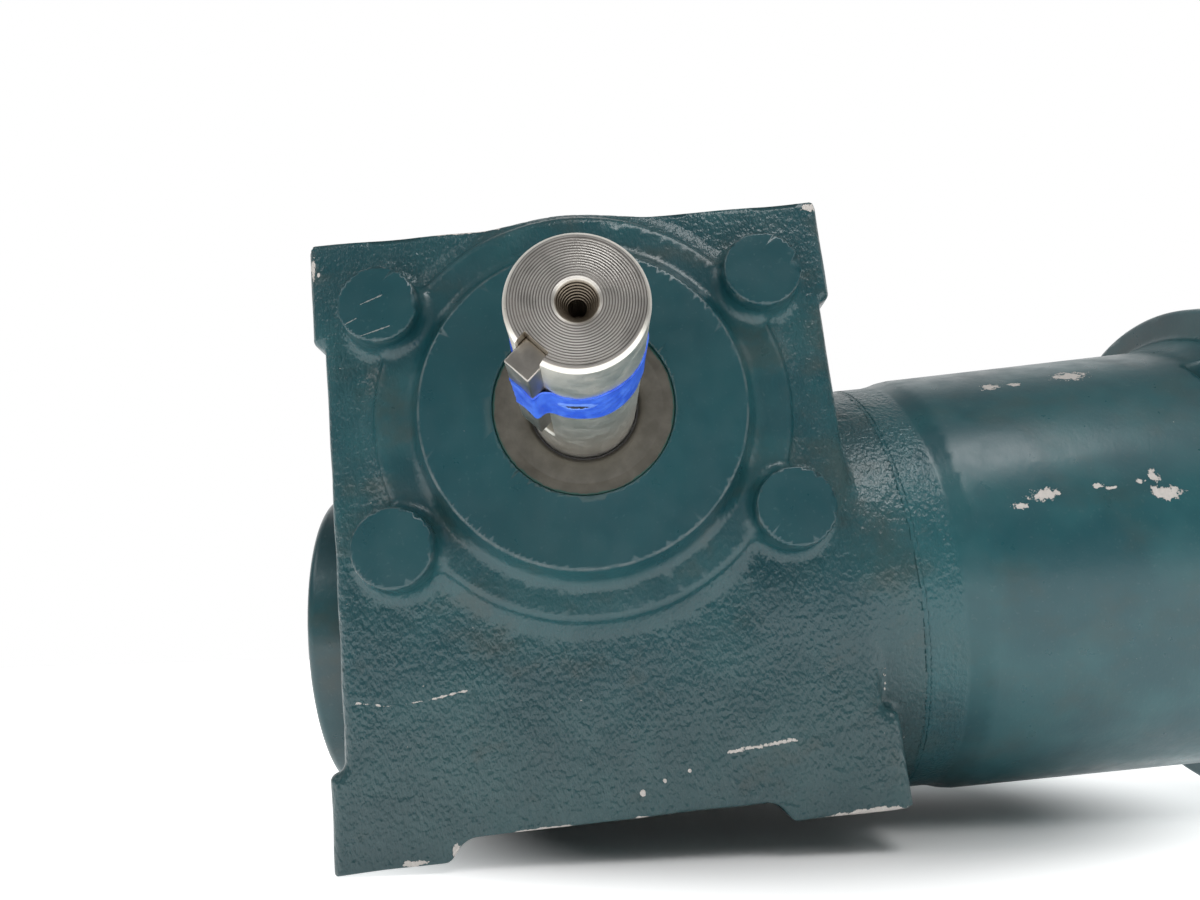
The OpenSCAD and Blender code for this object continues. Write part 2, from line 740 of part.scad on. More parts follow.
module output_shaft() {
    color(steel) difference() {
        output_turned([
            [0, -shaft_len], [shaft_r - end_chamfer, -shaft_len], [shaft_r, end_chamfer - shaft_len],
            [shaft_r, seat_y - 0.5], [bearing_seat_r, seat_y], [bearing_seat_r, collar_y],
            [collar_r - 1, collar_y], [collar_r, collar_y + 1], [collar_r, wheel_y0 - 1],
            [collar_r - 1, wheel_y0], [wheel_seat_r, wheel_y0], [wheel_seat_r, 2 * worm_y - collar_y - 0.4],
            [bearing_seat_r, 2 * worm_y - collar_y - 0.4], [bearing_seat_r, shaft_end_y - 1],
            [bearing_seat_r - 1, shaft_end_y], [0, shaft_end_y]
        ]);
        output_turned([
            [0, -shaft_len - cut], [centre_drill_r + cut * tan(30), -shaft_len - cut],
            [centre_pilot_r, (centre_drill_r - centre_pilot_r) / tan(30) - shaft_len],
            [centre_pilot_r, 13 - shaft_len], [0, 14 - shaft_len]
        ]);
        keyway();
        translate([-wheel_key_w / 2, wheel_y0 + 1, wheel_seat_r - 3]) cube([wheel_key_w, 22, 6]);
    }
}

module output_key() {
    chamfer = 0.3;
    x0 = shaft_r - key_depth;
    color(steel) rotate([0, -key_angle, 0]) translate([0, key_y1, 0]) rotate([90, 0, 0])
        linear_extrude(key_y1 - key_y0) polygon([
            [x0, chamfer - key_w / 2], [x0 + chamfer, -key_w / 2],
            [x0 + key_w - chamfer, -key_w / 2], [x0 + key_w, chamfer - key_w / 2],
            [x0 + key_w, key_w / 2 - chamfer], [x0 + key_w - chamfer, key_w / 2],
            [x0 + chamfer, key_w / 2], [x0, key_w / 2 - chamfer]
        ]);
}

module shaft_tape_band() {
    color("#2a55c8") rotate([0, -key_angle, 0]) translate([0, tape_y1, 0]) rotate([90, 0, 0])
        linear_extrude(tape_y1 - tape_y0) difference() {
            union() {
                circle(r = shaft_r + tape_t);
                translate([0, -key_w / 2 - tape_t]) square([key_top_r + tape_t, key_w + 2 * tape_t]);
            }
            circle(r = shaft_r);
            translate([0, -key_w / 2]) square([key_top_r, key_w]);
        }
}

// ---------- worm and wheel ----------

function involute_at(r, base_r) = let (a = acos(base_r / r)) tan(a) * 180 / PI - a;

// Outline of a toothed section: each flank is an involute, thinned at the pitch radius by half_play
function toothed_outline(teeth, pitch_r, base_r, root_r, tip_r, half_play, steps, arc_steps) =
    let (
        half = 90 / teeth - half_play / pitch_r * 180 / PI,
        start = max(root_r, base_r + 0.01),
        radii = [for (i = [0:steps]) start + (tip_r - start) * i / steps],
        at_pitch = involute_at(pitch_r, base_r),
        root_half = 180 / teeth - half + involute_at(start, base_r) - at_pitch
    )
    [for (t = [0:teeth - 1]) let (mid = t * 360 / teeth) each concat(
        [for (i = [-arc_steps:arc_steps]) let (a = mid - 180 / teeth + i / (arc_steps + 1) * root_half)
            [root_r * cos(a), root_r * sin(a)]],
        [for (r = radii) let (a = mid - half + involute_at(r, base_r) - at_pitch) [r * cos(a), r * sin(a)]],
        [for (i = [0:steps]) let (
            r = radii[steps - i], a = mid + half - involute_at(r, base_r) + at_pitch
        ) [r * cos(a), r * sin(a)]]
    )];

// Base radius of a helicoid whose tooth direction makes the given angle with its axis
function base_radius(pitch_r, helix) = pitch_r * cos(atan(tan(pressure_angle) / cos(helix)));

module worm_thread() {
    slices = 56;
    on_worm() translate([0, 0, -thread_half_len])
        linear_extrude(
            height = 2 * thread_half_len, twist = -360 * 2 * thread_half_len / lead, slices = slices,
            segments = 1, convexity = 10
        )
            rotate(90 - 180 * 2 * thread_half_len / lead) polygon(toothed_outline(
                worm_starts, worm_pitch_r, base_radius(worm_pitch_r, 90 - lead_angle),
                worm_root_r, worm_tip_r, backlash / 4 / tan(lead_angle), 3, 3));
}

module worm_shaft() {
    relief_r = worm_root_r - 0.7;
    color(steel) difference() {
        union() {
            worm_thread();
            worm_turned([
                [0, worm_left_x], [left_seat_r - 0.8, worm_left_x], [left_seat_r, worm_left_x + 0.8],
                [left_seat_r, left_bearing_x0 + left_bearing_w], [13, left_bearing_x0 + left_bearing_w],
                [13, -32], [relief_r, -28], [relief_r, 2 - thread_half_len], [0, 2 - thread_half_len]
            ]);
            worm_turned([
                [0, thread_half_len - 2], [relief_r, thread_half_len - 2], [relief_r, 28], [16, 32],
                [16, right_bearing_x0], [right_seat_r, right_bearing_x0], [right_seat_r, 91],
                [coupling_seat_r, 92], [coupling_seat_r, worm_right_x - 0.8],
                [coupling_seat_r - 0.8, worm_right_x], [0, worm_right_x]
            ]);
        }
        worm_ring(73.15, 74.95, 20, right_seat_r - 0.8);
        translate([122, worm_y - small_key_w / 2, worm_z + coupling_seat_r - small_key_w / 2])
            cube([worm_right_x - 122 + cut, small_key_w, 10]);
    }
}

module wheel_rim() {
    twist = 2 * wheel_half_w * tan(lead_angle) / wheel_pitch_r * 180 / PI;
    color(bronze) difference() {
        translate([0, worm_y - wheel_half_w, 0]) on_output()
            linear_extrude(
                height = 2 * wheel_half_w, twist = -twist, slices = 4, segments = 1, convexity = 10
            )
                rotate(90 - twist / 2) polygon(toothed_outline(
                    wheel_teeth, wheel_pitch_r, base_radius(wheel_pitch_r, lead_angle),
                    wheel_root_r, wheel_tip_r, backlash / 4, 4, 1));
        output_disc(worm_y - 20, worm_y + 20, rim_bore_r);
        output_disc(worm_y - 20, worm_y - hub_flange_y, rim_bore_r + 2);
        wheel_pin_row(loose);
    }
}

module wheel_hub() {
    color(iron) difference() {
        union() {
            output_disc(wheel_y0, wheel_y1, 24);
            output_disc(worm_y - wheel_half_w, worm_y + wheel_half_w, rim_bore_r);
            output_disc(worm_y - wheel_half_w, worm_y - hub_flange_y, rim_bore_r + 2);
        }
        output_disc(wheel_y0 - cut, wheel_y1 + cut, wheel_seat_r);
        translate([-wheel_key_w / 2, wheel_y0 - cut, 0]) cube([wheel_key_w, 30, wheel_seat_r + 3]);
        wheel_pin_row(loose);
    }
}

// Pins half in the rim and half in the hub, so that neither can turn in the other
module wheel_pin_row(play) {
    past = play > 0 ? cut : 0;
    round_output(4, rim_bore_r) translate([0, worm_y + wheel_half_w + past, 0])
        rotate([90, 0, 0]) cylinder(h = wheel_pin_len + past + play, r = 2 + play, $fn = 32);
}

module wheel_pins() { color(steel) wheel_pin_row(0); }

module wheel_key() {
    color(steel) translate([-wheel_key_w / 2, wheel_y0 + 1.2, wheel_seat_r - 3])
        cube([wheel_key_w, 21.6, 5.9]);
}

module wheel_spacer() {
    color(steel) output_ring(wheel_y1, 2 * worm_y - collar_y, spacer_r, wheel_seat_r);
}

// ---------- worm shaft group ----------

module worm_locknut() {
    x0 = left_bearing_x0 - 6.4;
    color(steel) difference() {
        worm_disc(x0, left_bearing_x0, 15);
        worm_disc(x0 - cut, left_bearing_x0 + cut, left_seat_r);
        round_worm(4, 15) translate([x0 - cut, -1.5, -2]) cube([9, 3, 4]);
    }
}

module worm_snap_ring() {
    color(steel) difference() {
        worm_ring(73.2, 74.9, right_seat_r + 3, right_seat_r - 0.7);
        translate([70, worm_y - 3, worm_z]) cube([10, 6, 20]);
    }
}

// One wedge of a ring about the worm axis
module wedge(x0, x1, r_out, r_in, at, width) {
    difference() {
        worm_ring(x0, x1, r_out, r_in);
        translate([0, worm_y, worm_z]) rotate([at + width / 2, 0, 0])
            translate([x0 - cut, -40, 0]) cube([x1 - x0 + 2 * cut, 80, 40]);
        translate([0, worm_y, worm_z]) rotate([at - width / 2, 0, 0])
            translate([x0 - cut, -40, -40]) cube([x1 - x0 + 2 * cut, 80, 40]);
    }
}

// Three jaws of a coupling hub
module jaws(x0, first) {
    for (i = [0:2]) wedge(x0, x0 + jaw_len, hub_r, jaw_bore_r, first + 120 * i, jaw_angle);
}

module worm_coupling_hub() {
    x0 = jaw_x0 - hub_len;
    color(iron) difference() {
        union() {
            worm_disc(x0, jaw_x0 - 0.5, hub_r);
            jaws(jaw_x0 - 1, 0);
        }
        worm_disc(x0 - cut, jaw_x0 + cut, coupling_seat_r);
        translate([x0 - cut, worm_y - small_key_w / 2, worm_z]) cube([hub_len + 2, small_key_w, 12]);
        translate([x0 + 10, worm_y, worm_z]) cylinder(h = 40, r = 3, $fn = 32);
    }
}

module worm_coupling_key() {
    color(steel) translate([124, worm_y - small_key_w / 2, worm_z + coupling_seat_r - small_key_w / 2])
        cube([25, small_key_w, small_key_w - 0.1]);
}

module worm_coupling_screw() {
    color(dark_steel) translate([jaw_x0 - hub_len + 10, worm_y, worm_z + 24]) pipe_plug(2.9, 11.8);
}

module coupling_spider() {
    color("#3a3a3a") union() {
        worm_ring(jaw_x0 + 0.3, jaw_x0 + jaw_len - 0.3, 12.6, 9);
        for (i = [0:5])
            wedge(jaw_x0 + 0.3, jaw_x0 + jaw_len - 0.3, hub_r - 0.6, 11.8, 30 + 60 * i, arm_angle);
    }
}

module motor_coupling_hub() {
    x0 = jaw_x0 + jaw_len;
    color(iron) difference() {
        union() {
            worm_disc(x0 + 0.5, motor_hub_x1, hub_r);
            jaws(jaw_x0 + 1, 60);
        }
        worm_disc(x0 - cut, motor_hub_x1 + cut, motor_shaft_d / 2);
        translate([x0 - cut, worm_y - small_key_w / 2, worm_z]) cube([hub_len + 3, small_key_w, 10.3]);
        translate([motor_hub_x1 - 10, worm_y, worm_z]) cylinder(h = 40, r = 3, $fn = 32);
    }
}

module motor_coupling_screw() {
    color(dark_steel) translate([motor_hub_x1 - 10, worm_y, worm_z + 24]) pipe_plug(2.9, 11);
}

gearbox_housing();
rear_cover();
rear_cover_gasket();
rear_cover_bolts();
rear_cover_shims();
output_seal_case();
output_seal_lip();
worm_end_cover();
worm_end_gasket();
worm_end_bolts();
motor_adapter();
adapter_gasket();
adapter_bolts();
input_seal_case();
input_seal_lip();
input_bearing_ring();
front_bearing_cup();
rear_bearing_cup();
left_bearing_outer();
right_bearing_outer();
fill_plug();
level_plug();
drain_plug();
vent_plug();
output_shaft();
output_key();
shaft_tape_band();
wheel_rim();
wheel_hub();
wheel_pins();
wheel_key();
wheel_spacer();
front_bearing_cone();
rear_bearing_cone();
front_bearing_rollers();
front_bearing_cage();
rear_bearing_rollers();
rear_bearing_cage();
worm_shaft();
left_bearing_inner();
right_bearing_inner();
worm_locknut();
worm_snap_ring();
worm_coupling_hub();
worm_coupling_key();
worm_coupling_screw();
coupling_spider();
motor_coupling_hub();
motor_coupling_screw();
left_bearing_balls();
left_bearing_cage();
right_bearing_balls();
right_bearing_cage();
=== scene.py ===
# Worm gearbox with its motor adapter: castings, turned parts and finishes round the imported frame.
# Shapes are worked out in millimetres in the row frame: the origin is on the output axis at the
# machined front face, +X runs along the worm, +Y into the housing and +Z up.

import json
import math

import bmesh
import bpy
import numpy as np
import openvdb
from mathutils import Matrix, Vector

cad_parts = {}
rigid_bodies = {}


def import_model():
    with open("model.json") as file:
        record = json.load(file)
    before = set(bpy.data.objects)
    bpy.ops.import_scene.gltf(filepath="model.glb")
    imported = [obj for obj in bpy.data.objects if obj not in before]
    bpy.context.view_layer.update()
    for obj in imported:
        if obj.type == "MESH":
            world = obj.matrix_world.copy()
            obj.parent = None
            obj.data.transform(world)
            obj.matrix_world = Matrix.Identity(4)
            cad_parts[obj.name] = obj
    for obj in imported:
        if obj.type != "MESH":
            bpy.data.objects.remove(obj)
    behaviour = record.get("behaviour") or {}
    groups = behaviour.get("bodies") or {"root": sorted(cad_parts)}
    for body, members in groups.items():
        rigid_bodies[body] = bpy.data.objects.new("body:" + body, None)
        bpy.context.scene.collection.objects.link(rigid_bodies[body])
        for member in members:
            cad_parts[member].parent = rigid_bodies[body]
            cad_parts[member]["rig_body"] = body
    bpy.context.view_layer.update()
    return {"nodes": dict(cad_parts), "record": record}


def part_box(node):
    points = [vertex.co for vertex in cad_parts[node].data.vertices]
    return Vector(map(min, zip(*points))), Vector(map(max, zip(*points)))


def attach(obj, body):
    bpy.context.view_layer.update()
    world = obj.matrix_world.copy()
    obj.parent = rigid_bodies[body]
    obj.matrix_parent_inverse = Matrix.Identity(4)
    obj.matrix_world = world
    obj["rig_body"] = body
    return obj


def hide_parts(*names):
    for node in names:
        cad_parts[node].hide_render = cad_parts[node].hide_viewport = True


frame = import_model()

MM = 0.001
COARSE = 1.0

# ---------- driving dimensions, in mm ----------

WORM_Y = 76.2
WORM_Z = -54.0
TOP_Z = 58.8
FOOT_Z = -116.0
RELIEF_Z = -110.5
FRONT_Y = 10.0
REAR_Y = 2 * WORM_Y - FRONT_Y
BODY_HALF = 73.0
PAD_HALF = 76.2
FOOT_HALF = 77.0
DISC_R = 45.3
DISC_FOOT_R = 48.8
RING_R = 58.3
RING_FOOT_R = 60.5
RING_Y = 6.0
BOSS_X, BOSS_Z, BOSS_R = 54.1, 34.1, 10.9
BOSS_Y = -1.5
SEAL_R = 25.2
END_PAD_X = -76.0
END_COVER_X = -87.0
END_COVER_R = 48.4
NECK_R = 68.2
SEAM_X = 88.0
GASKET = 0.5
SHAFT_R = 14.2875
SHAFT_Y = -74.5
KEY_W = 6.35
KEY_ANGLE = math.radians(222)
KEY_Y = (-71.0, -30.0)
KEYWAY_Y = -25.0
KEY_BOTTOM_R = SHAFT_R - KEY_W / 2
TAPE_Y = (-57.0, -40.5)
TEAR = (-2.0, -51.0, -14.4)
FLANGE_X = 210.0
FACE_X = 223.0
FLANGE_R = 84.5
# radii of the bolt circles
MOTOR_BOLTS = 74.6125
ADAPTER_BOLTS = 45
END_BOLTS = 38
COVER_BOLTS = 54.75


# ---------- distance fields: negative inside, in mm ----------

def join(a, b, r):
    """Union with a fillet of radius r in the corner between the two."""
    u = np.maximum(r - a, 0)
    v = np.maximum(r - b, 0)
    return np.maximum(r, np.minimum(a, b)) - np.sqrt(u * u + v * v)


def meet(a, b, r):
    """Intersection with its edge rounded to radius r."""
    u = np.maximum(r + a, 0)
    v = np.maximum(r + b, 0)
    return np.minimum(-r, np.maximum(a, b)) + np.sqrt(u * u + v * v)


def between(v, low, high):
    return np.maximum(low - v, v - high)


def ramp(v, low, high):
    """0 at low, 1 at high, straight between."""
    return np.clip((v - low) / (high - low), 0, 1)


def outline(points, u, v):
    """Distance to a closed outline in a plane."""
    shape = np.broadcast(u, v).shape
    nearest = np.full(shape, 1e6, np.float32)
    inside = np.zeros(shape, bool)
    for (u0, v0), (u1, v1) in zip(points, points[1:] + points[:1]):
        du = u1 - u0
        dv = v1 - v0
        t = np.clip(((u - u0) * du + (v - v0) * dv) / (du * du + dv * dv), 0, 1)
        away = np.hypot(u - u0 - t * du, v - v0 - t * dv)
        nearest = np.minimum(nearest, away)
        if dv:
            inside ^= ((v0 > v) != (v1 > v)) & (u < u0 + (v - v0) * du / dv)
    return np.where(inside, -nearest, nearest)


def turned_table(points, step=0.1):
    """Distance to a solid turned from a [radius, place] outline, worked out once on a fine grid."""
    edge = np.array(points)
    start = edge.min(0) - 8
    start[0] = max(start[0], 0)
    counts = np.ceil((edge.max(0) + 14 - start) / step).astype(int)
    rows = start[0] + step * np.arange(counts[0])
    columns = start[1] + step * np.arange(counts[1])
    table = outline(points, rows[:, None], columns[None, :]).astype(np.float32)

    def distance(radial, along):
        i = np.clip((radial - start[0]) / step, 0, counts[0] - 1.001)
        j = np.clip((along - start[1]) / step, 0, counts[1] - 1.001)
        i0 = i.astype(np.int32)
        j0 = j.astype(np.int32)
        i = i - i0
        j = j - j0
        low = table[i0, j0] * (1 - j) + table[i0, j0 + 1] * j
        high = table[i0 + 1, j0] * (1 - j) + table[i0 + 1, j0 + 1] * j
        return low * (1 - i) + high * i

    return distance


def arc(u, v, r, a0, a1, steps=8):
    """Points of a circular arc about (u, v), in degrees."""
    angles = [math.radians(a0 + (a1 - a0) * i / steps) for i in range(steps + 1)]
    return [(u + r * math.cos(a), v + r * math.sin(a)) for a in angles]


def four_rods(y, z, circle_r, rod_r):
    """Four rods along X on a circle about the worm axis, at 45 degrees."""
    off = circle_r / math.sqrt(2)
    return np.hypot(np.abs(y - WORM_Y) - off, np.abs(z - WORM_Z) - off) - rod_r


def six_rods(x, z, circle_r, rod_r):
    """Six rods along Y on a circle about the output axis."""
    side = np.hypot(np.abs(x) - circle_r, z)
    slant = np.hypot(np.abs(x) - circle_r / 2, np.abs(z) - circle_r * math.sqrt(3) / 2)
    return np.minimum(side, slant) - rod_r


def lumps(x, y, z, size, depth):
    """The slow unevenness of a sand casting."""
    k = 2 * math.pi / size
    return depth * np.sin(k * x + 1.3 * np.sin(0.7 * k * z)) * np.sin(k * z + 1.1 * np.sin(0.8 * k * y) + 0.5)


# ---------- the castings ----------

def housing_walls(x, z):
    """The housing's side walls with their pads and feet, seen along the output axis."""
    wide = np.abs(x)
    pads = meet(wide - PAD_HALF, 28 - z, 2.2)
    feet = meet(wide - FOOT_HALF, z + 90.5, 2.2)
    return join(join(wide - BODY_HALF, pads, 2.5), feet, 2.5)


def base_relief(x, z):
    """The gap between the feet, with slanted sides."""
    left = (-5.5 * (x + 42) + 4.5 * (z - RELIEF_Z)) / 7.1
    right = (5.5 * (x - 40) + 4 * (z - RELIEF_Z)) / 6.8
    return meet(meet(z - RELIEF_Z, left, 2), right, 2)


def housing_outside(x, y, z):
    rho = np.hypot(x, z)
    worm = np.hypot(y - WORM_Y, z - WORM_Z)
    walls = housing_walls(x, z)
    plan = meet(meet(walls, z - TOP_Z, 2.6), FOOT_Z - z, 0.8)
    plan = meet(plan, -base_relief(x, z), 1.0)
    depth = between(y, FRONT_Y, REAR_Y)
    solid = np.maximum(meet(plan, depth, 0.7), meet(walls, depth, 3.6))
    # cast ring, machined disc and four bosses
    rise = ramp(y, RING_Y, FRONT_Y)
    foot = (RING_FOOT_R - RING_R) * rise + 1.1 * ramp(y, FRONT_Y - 1.5, FRONT_Y + 0.5)
    ring = meet(0.88 * (rho - RING_R - foot), RING_Y - y, 1.3)
    solid = join(solid, np.maximum(ring, y - 24), 2.4)
    rise = ramp(y, 0, RING_Y)
    disc = meet(0.86 * (rho - DISC_R - (DISC_FOOT_R - DISC_R) * rise), -y, 0.4)
    solid = join(solid, np.maximum(disc, y - 24), 1.6)
    boss = np.hypot(np.abs(x) - BOSS_X, np.abs(z) - BOSS_Z) - BOSS_R - 0.08 * (y - BOSS_Y)
    boss = meet(boss, BOSS_Y - y, 0.35)
    solid = join(solid, np.maximum(boss, y - 24), 3.4)
    # worm bosses: the end pad and the neck
    pad = np.maximum(worm - END_COVER_R, between(x, END_PAD_X, -60))
    solid = join(solid, pad, 2)
    solid = np.maximum(solid, -np.maximum(worm - END_COVER_R - 0.6, x - END_PAD_X))
    neck_r = WORM_Y - FRONT_Y - 0.2 + 2.2 * ramp(x, 42, 72)
    neck = np.maximum(worm - neck_r, between(x, 42, SEAM_X - GASKET))
    neck = np.maximum(neck, np.minimum(FOOT_HALF - x, FOOT_Z - z))
    return join(solid, neck, 3.0)


def housing_inside(x, y, z):
    rho = np.hypot(x, z)
    worm = np.hypot(y - WORM_Y, z - WORM_Z)
    chamber = np.maximum(rho - 47.5, 22 - y)
    sump = np.maximum(np.maximum(np.abs(x) - 48, between(z, -98, 0)), between(y, 22, 130))
    hollow = np.minimum(chamber, sump)
    for low, high, r in ((-60, 60, 24), (-90, -58.5, 26), (56, 120, 31), (73.4, 75.6, 33), (85, 120, 35)):
        hollow = np.minimum(hollow, np.maximum(worm - r, between(x, low, high)))
    hollow = np.minimum(hollow, np.maximum(rho - 22, y - 23))
    bore = np.maximum(rho - SEAL_R - np.maximum(0.3 - y, 0), y - 11.2)
    hollow = np.minimum(hollow, bore)
    # bolt and plug sockets
    hollow = np.minimum(hollow, np.maximum(six_rods(x, z, COVER_BOLTS, 3), REAR_Y - 18 - y))
    hollow = np.minimum(hollow, np.maximum(four_rods(y, z, END_BOLTS, 3), x + 62))
    hollow = np.minimum(hollow, np.maximum(four_rods(y, z, ADAPTER_BOLTS, 4), 75 - x))
    foot_hole = np.hypot(np.abs(x) - 61, np.abs(y - WORM_Y) - 45) - 4.25
    hollow = np.minimum(hollow, np.maximum(foot_hole, z - FOOT_Z - 16))
    rear_plugs = np.hypot(x + 57, np.abs(z - 3) - 33) - 6.6
    hollow = np.minimum(hollow, np.maximum(rear_plugs, REAR_Y - 13 - y))
    drain = np.hypot(x, y - WORM_Y) - 6.6
    hollow = np.minimum(hollow, np.maximum(drain, z - RELIEF_Z - 13))
    vent = np.hypot(x, y - 112) - 6.6
    return np.minimum(hollow, np.maximum(vent, TOP_Z - 13 - z))


def housing_field(x, y, z):
    rho = np.hypot(x, z)
    uneven = (1 + lumps(x, y, z, 37, 0.5) + lumps(z, x, y, 23, 0.5)) * ramp(y, 0.5, 3)
    solid = np.maximum(housing_outside(x, y, z) + 0.16 * uneven, -housing_inside(x, y, z))
    collar = np.maximum(between(rho, 29, 37), between(y, 20, 36))
    bearing_bore = np.maximum(rho - 31, between(y, 16.5, 40))
    return np.maximum(np.minimum(solid, collar), -bearing_bore)


def adapter_outline():
    """The adapter's wall as [radius, x]: spigot, land, bevel, barrel, flare, flange, register, cavity."""
    bevel_x = 105.5
    flare_x = 195
    barrel_r = 70
    end_r = barrel_r + 0.0167 * (flare_x - bevel_x)
    flare = [(end_r + 3 * (1 - math.cos(math.radians(90 * t / 8))), flare_x + 11.5 * t / 8) for t in range(9)]
    return (
        [(22, 85.5), (34.9, 85.5), (34.9, SEAM_X)]
        + arc(NECK_R - 0.2, SEAM_X + 0.2, 0.2, -90, 0, 3)
        + [(NECK_R, 98.6), (NECK_R + 0.25, 99.8), (barrel_r - 0.4, bevel_x - 1.8)]
        + [(barrel_r - 0.06, bevel_x - 0.8), (barrel_r + 0.02, bevel_x + 0.6)]
        + flare
        + arc(end_r + 5.6, FLANGE_X - 2.6, 2.6, 180, 90, 5)
        + arc(FLANGE_R - 1.6, FLANGE_X + 1.6, 1.6, -90, 0, 6)
        + [(FLANGE_R, FACE_X - 0.6), (FLANGE_R - 0.6, FACE_X)]
        + [(57.45, FACE_X), (57.15, FACE_X - 0.3), (57.15, FACE_X - 4.5)]
        + [(54.3, FACE_X - 4.5), (54, FACE_X - 4.8), (54, 105), (22, 105)]
    )


adapter_turned = turned_table(adapter_outline())


def adapter_field(x, y, z):
    radial = np.hypot(y - WORM_Y, z - WORM_Z)
    wall = adapter_turned(radial, x)
    pockets = meet(four_rods(y, z, MOTOR_BOLTS, 9.5), between(x, FLANGE_X - 17, FLANGE_X), 1.5)
    wall = meet(wall, -pockets, 2.2)
    holes = np.maximum(four_rods(y, z, MOTOR_BOLTS, 5.2), FLANGE_X - 1 - x)
    bolts = np.maximum(four_rods(y, z, ADAPTER_BOLTS, 4.4), x - 106)
    return np.maximum(np.maximum(wall, -holes), -bolts)


def end_cover_field(x, y, z):
    worm = np.hypot(y - WORM_Y, z - WORM_Z)
    cover = meet(worm - END_COVER_R, END_COVER_X - x, 3)
    cover = np.maximum(cover, x - END_PAD_X + GASKET)
    spigot = np.maximum(worm - 25.9, between(x, -80, -73.6))
    cover = np.minimum(cover, spigot)
    dish = meet(np.abs(worm - 26) - 6, x - END_COVER_X - 1.2, 0.8)
    cover = meet(cover, -dish, 0.8)
    pocket = np.maximum(worm - 21, 3.5 + END_COVER_X - x)
    cover = np.maximum(cover, -pocket)
    heads = np.maximum(four_rods(y, z, END_BOLTS, 5.6), x - END_COVER_X - 6.3)
    shanks = four_rods(y, z, END_BOLTS, 3.4)
    return np.maximum(meet(cover, -heads, 0.4), -shanks)


def rear_cover_field(x, y, z):
    rho = np.hypot(x, z)
    face = 2 * WORM_Y
    raised = meet(0.86 * (rho - DISC_R - 3.5 * ramp(-y, -face, 6 - face)), y - face, 0.5)
    rim = meet(rho - RING_R, y - REAR_Y - 6, 1.2)
    cover = join(np.maximum(raised, 120 - y), np.maximum(rim, REAR_Y + GASKET - y), 1.6)
    cover = np.minimum(cover, np.maximum(rho - 47.2, between(y, face - 37, REAR_Y + 1)))
    cover = np.maximum(cover, -np.maximum(rho - 31, y - face + 15.5))
    cover = np.maximum(cover, -np.maximum(rho - 24, y - face + 13))
    cover = np.maximum(cover, -six_rods(x, z, COVER_BOLTS, 3.4))
    seats = np.maximum(six_rods(x, z, COVER_BOLTS, 6.2), REAR_Y + 6 - y)
    return np.maximum(cover, -seats)


# ---------- meshes ----------

def new_object(name, mesh, material):
    mesh.materials.append(material)
    made = bpy.data.objects.new(name, mesh)
    bpy.context.scene.collection.objects.link(made)
    return made


def slope(field, points, step):
    """Unit gradient of a distance field at points."""
    x, y, z = points.T
    gradient = np.stack([
        field(x + step, y, z) - field(x - step, y, z),
        field(x, y + step, z) - field(x, y - step, z),
        field(x, y, z + step) - field(x, y, z - step),
    ], 1) / (2 * step)
    return gradient


def shell(name, field, node, material, voxel):
    """Surface of a distance field over a CAD node's box: voxels find it, then each point is moved onto it."""
    voxel *= COARSE
    low, high = (1000 * np.array(corner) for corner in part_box(node))
    low = low - 3.37 * voxel
    counts = np.ceil((high - low) / voxel).astype(int) + 4
    axes = [(low[i] + voxel * np.arange(counts[i])).astype(np.float32) for i in range(3)]
    values = field(axes[0][:, None, None], axes[1][None, :, None], axes[2][None, None, :])
    band = 3 * voxel
    grid = openvdb.FloatGrid(band)
    grid.copyFromArray(np.ascontiguousarray(np.clip(values, -band, band), dtype=np.float32))
    points, triangles, quads = grid.convertToPolygons(isovalue=0.0, adaptivity=0.02)
    points = points * voxel + low
    for _ in range(3):
        gradient = slope(field, points, 0.05)
        size = np.maximum((gradient * gradient).sum(1), 0.25)
        away = np.clip(field(*points.T), -0.4 * voxel, 0.4 * voxel)
        points = points - gradient * (away / size)[:, None]
    normals = slope(field, points, 0.12)
    normals /= np.maximum(np.linalg.norm(normals, axis=1), 1e-6)[:, None]
    faces = [tuple(f[::-1]) for f in triangles.tolist()] + [tuple(f[::-1]) for f in quads.tolist()]
    mesh = bpy.data.meshes.new(name)
    mesh.from_pydata((points * MM).tolist(), [], faces)
    mesh.polygons.foreach_set("use_smooth", np.ones(len(mesh.polygons), bool))
    mesh.update()
    facing = np.zeros(3 * len(mesh.vertices), np.float32)
    mesh.vertex_normals.foreach_get("vector", facing)
    if (facing.reshape(-1, 3) * normals).sum() < 0:
        mesh.flip_normals()
    mesh.normals_split_custom_set_from_vertices(normals.tolist())
    made = new_object(name, mesh, material)
    return made


def lathe(name, profile, axis, material, segments=192, sharp=28):
    """Closed solid turned from a [radius, place] profile about the output axis, Y, or the worm axis, X."""
    turns = [2 * math.pi * i / segments for i in range(segments)]
    points = []
    rings = []
    for r, place in profile:
        start = len(points)
        if r < 1e-6:
            spread = [(0.0, 0.0)]
        else:
            spread = [(r * math.cos(t), r * math.sin(t)) for t in turns]
        for a, b in spread:
            points.append((a, place, b) if axis == "Y" else (place, WORM_Y + a, WORM_Z + b))
        rings.append([start + i % len(spread) for i in range(segments)])
    faces = []
    pairs = list(zip(rings, rings[1:] + rings[:1]))
    for one, two in pairs:
        for i in range(segments):
            j = (i + 1) % segments
            corners = [one[i], one[j], two[j], two[i]]
            kept = [c for k, c in enumerate(corners) if c != corners[k - 1]]
            if len(set(kept)) > 2:
                faces.append(tuple(kept))
    mesh = bpy.data.meshes.new(name)
    mesh.from_pydata([(MM * a, MM * b, MM * c) for a, b, c in points], [], faces)
    made = new_object(name, mesh, material)
    tidy_mesh(made, sharp)
    return made


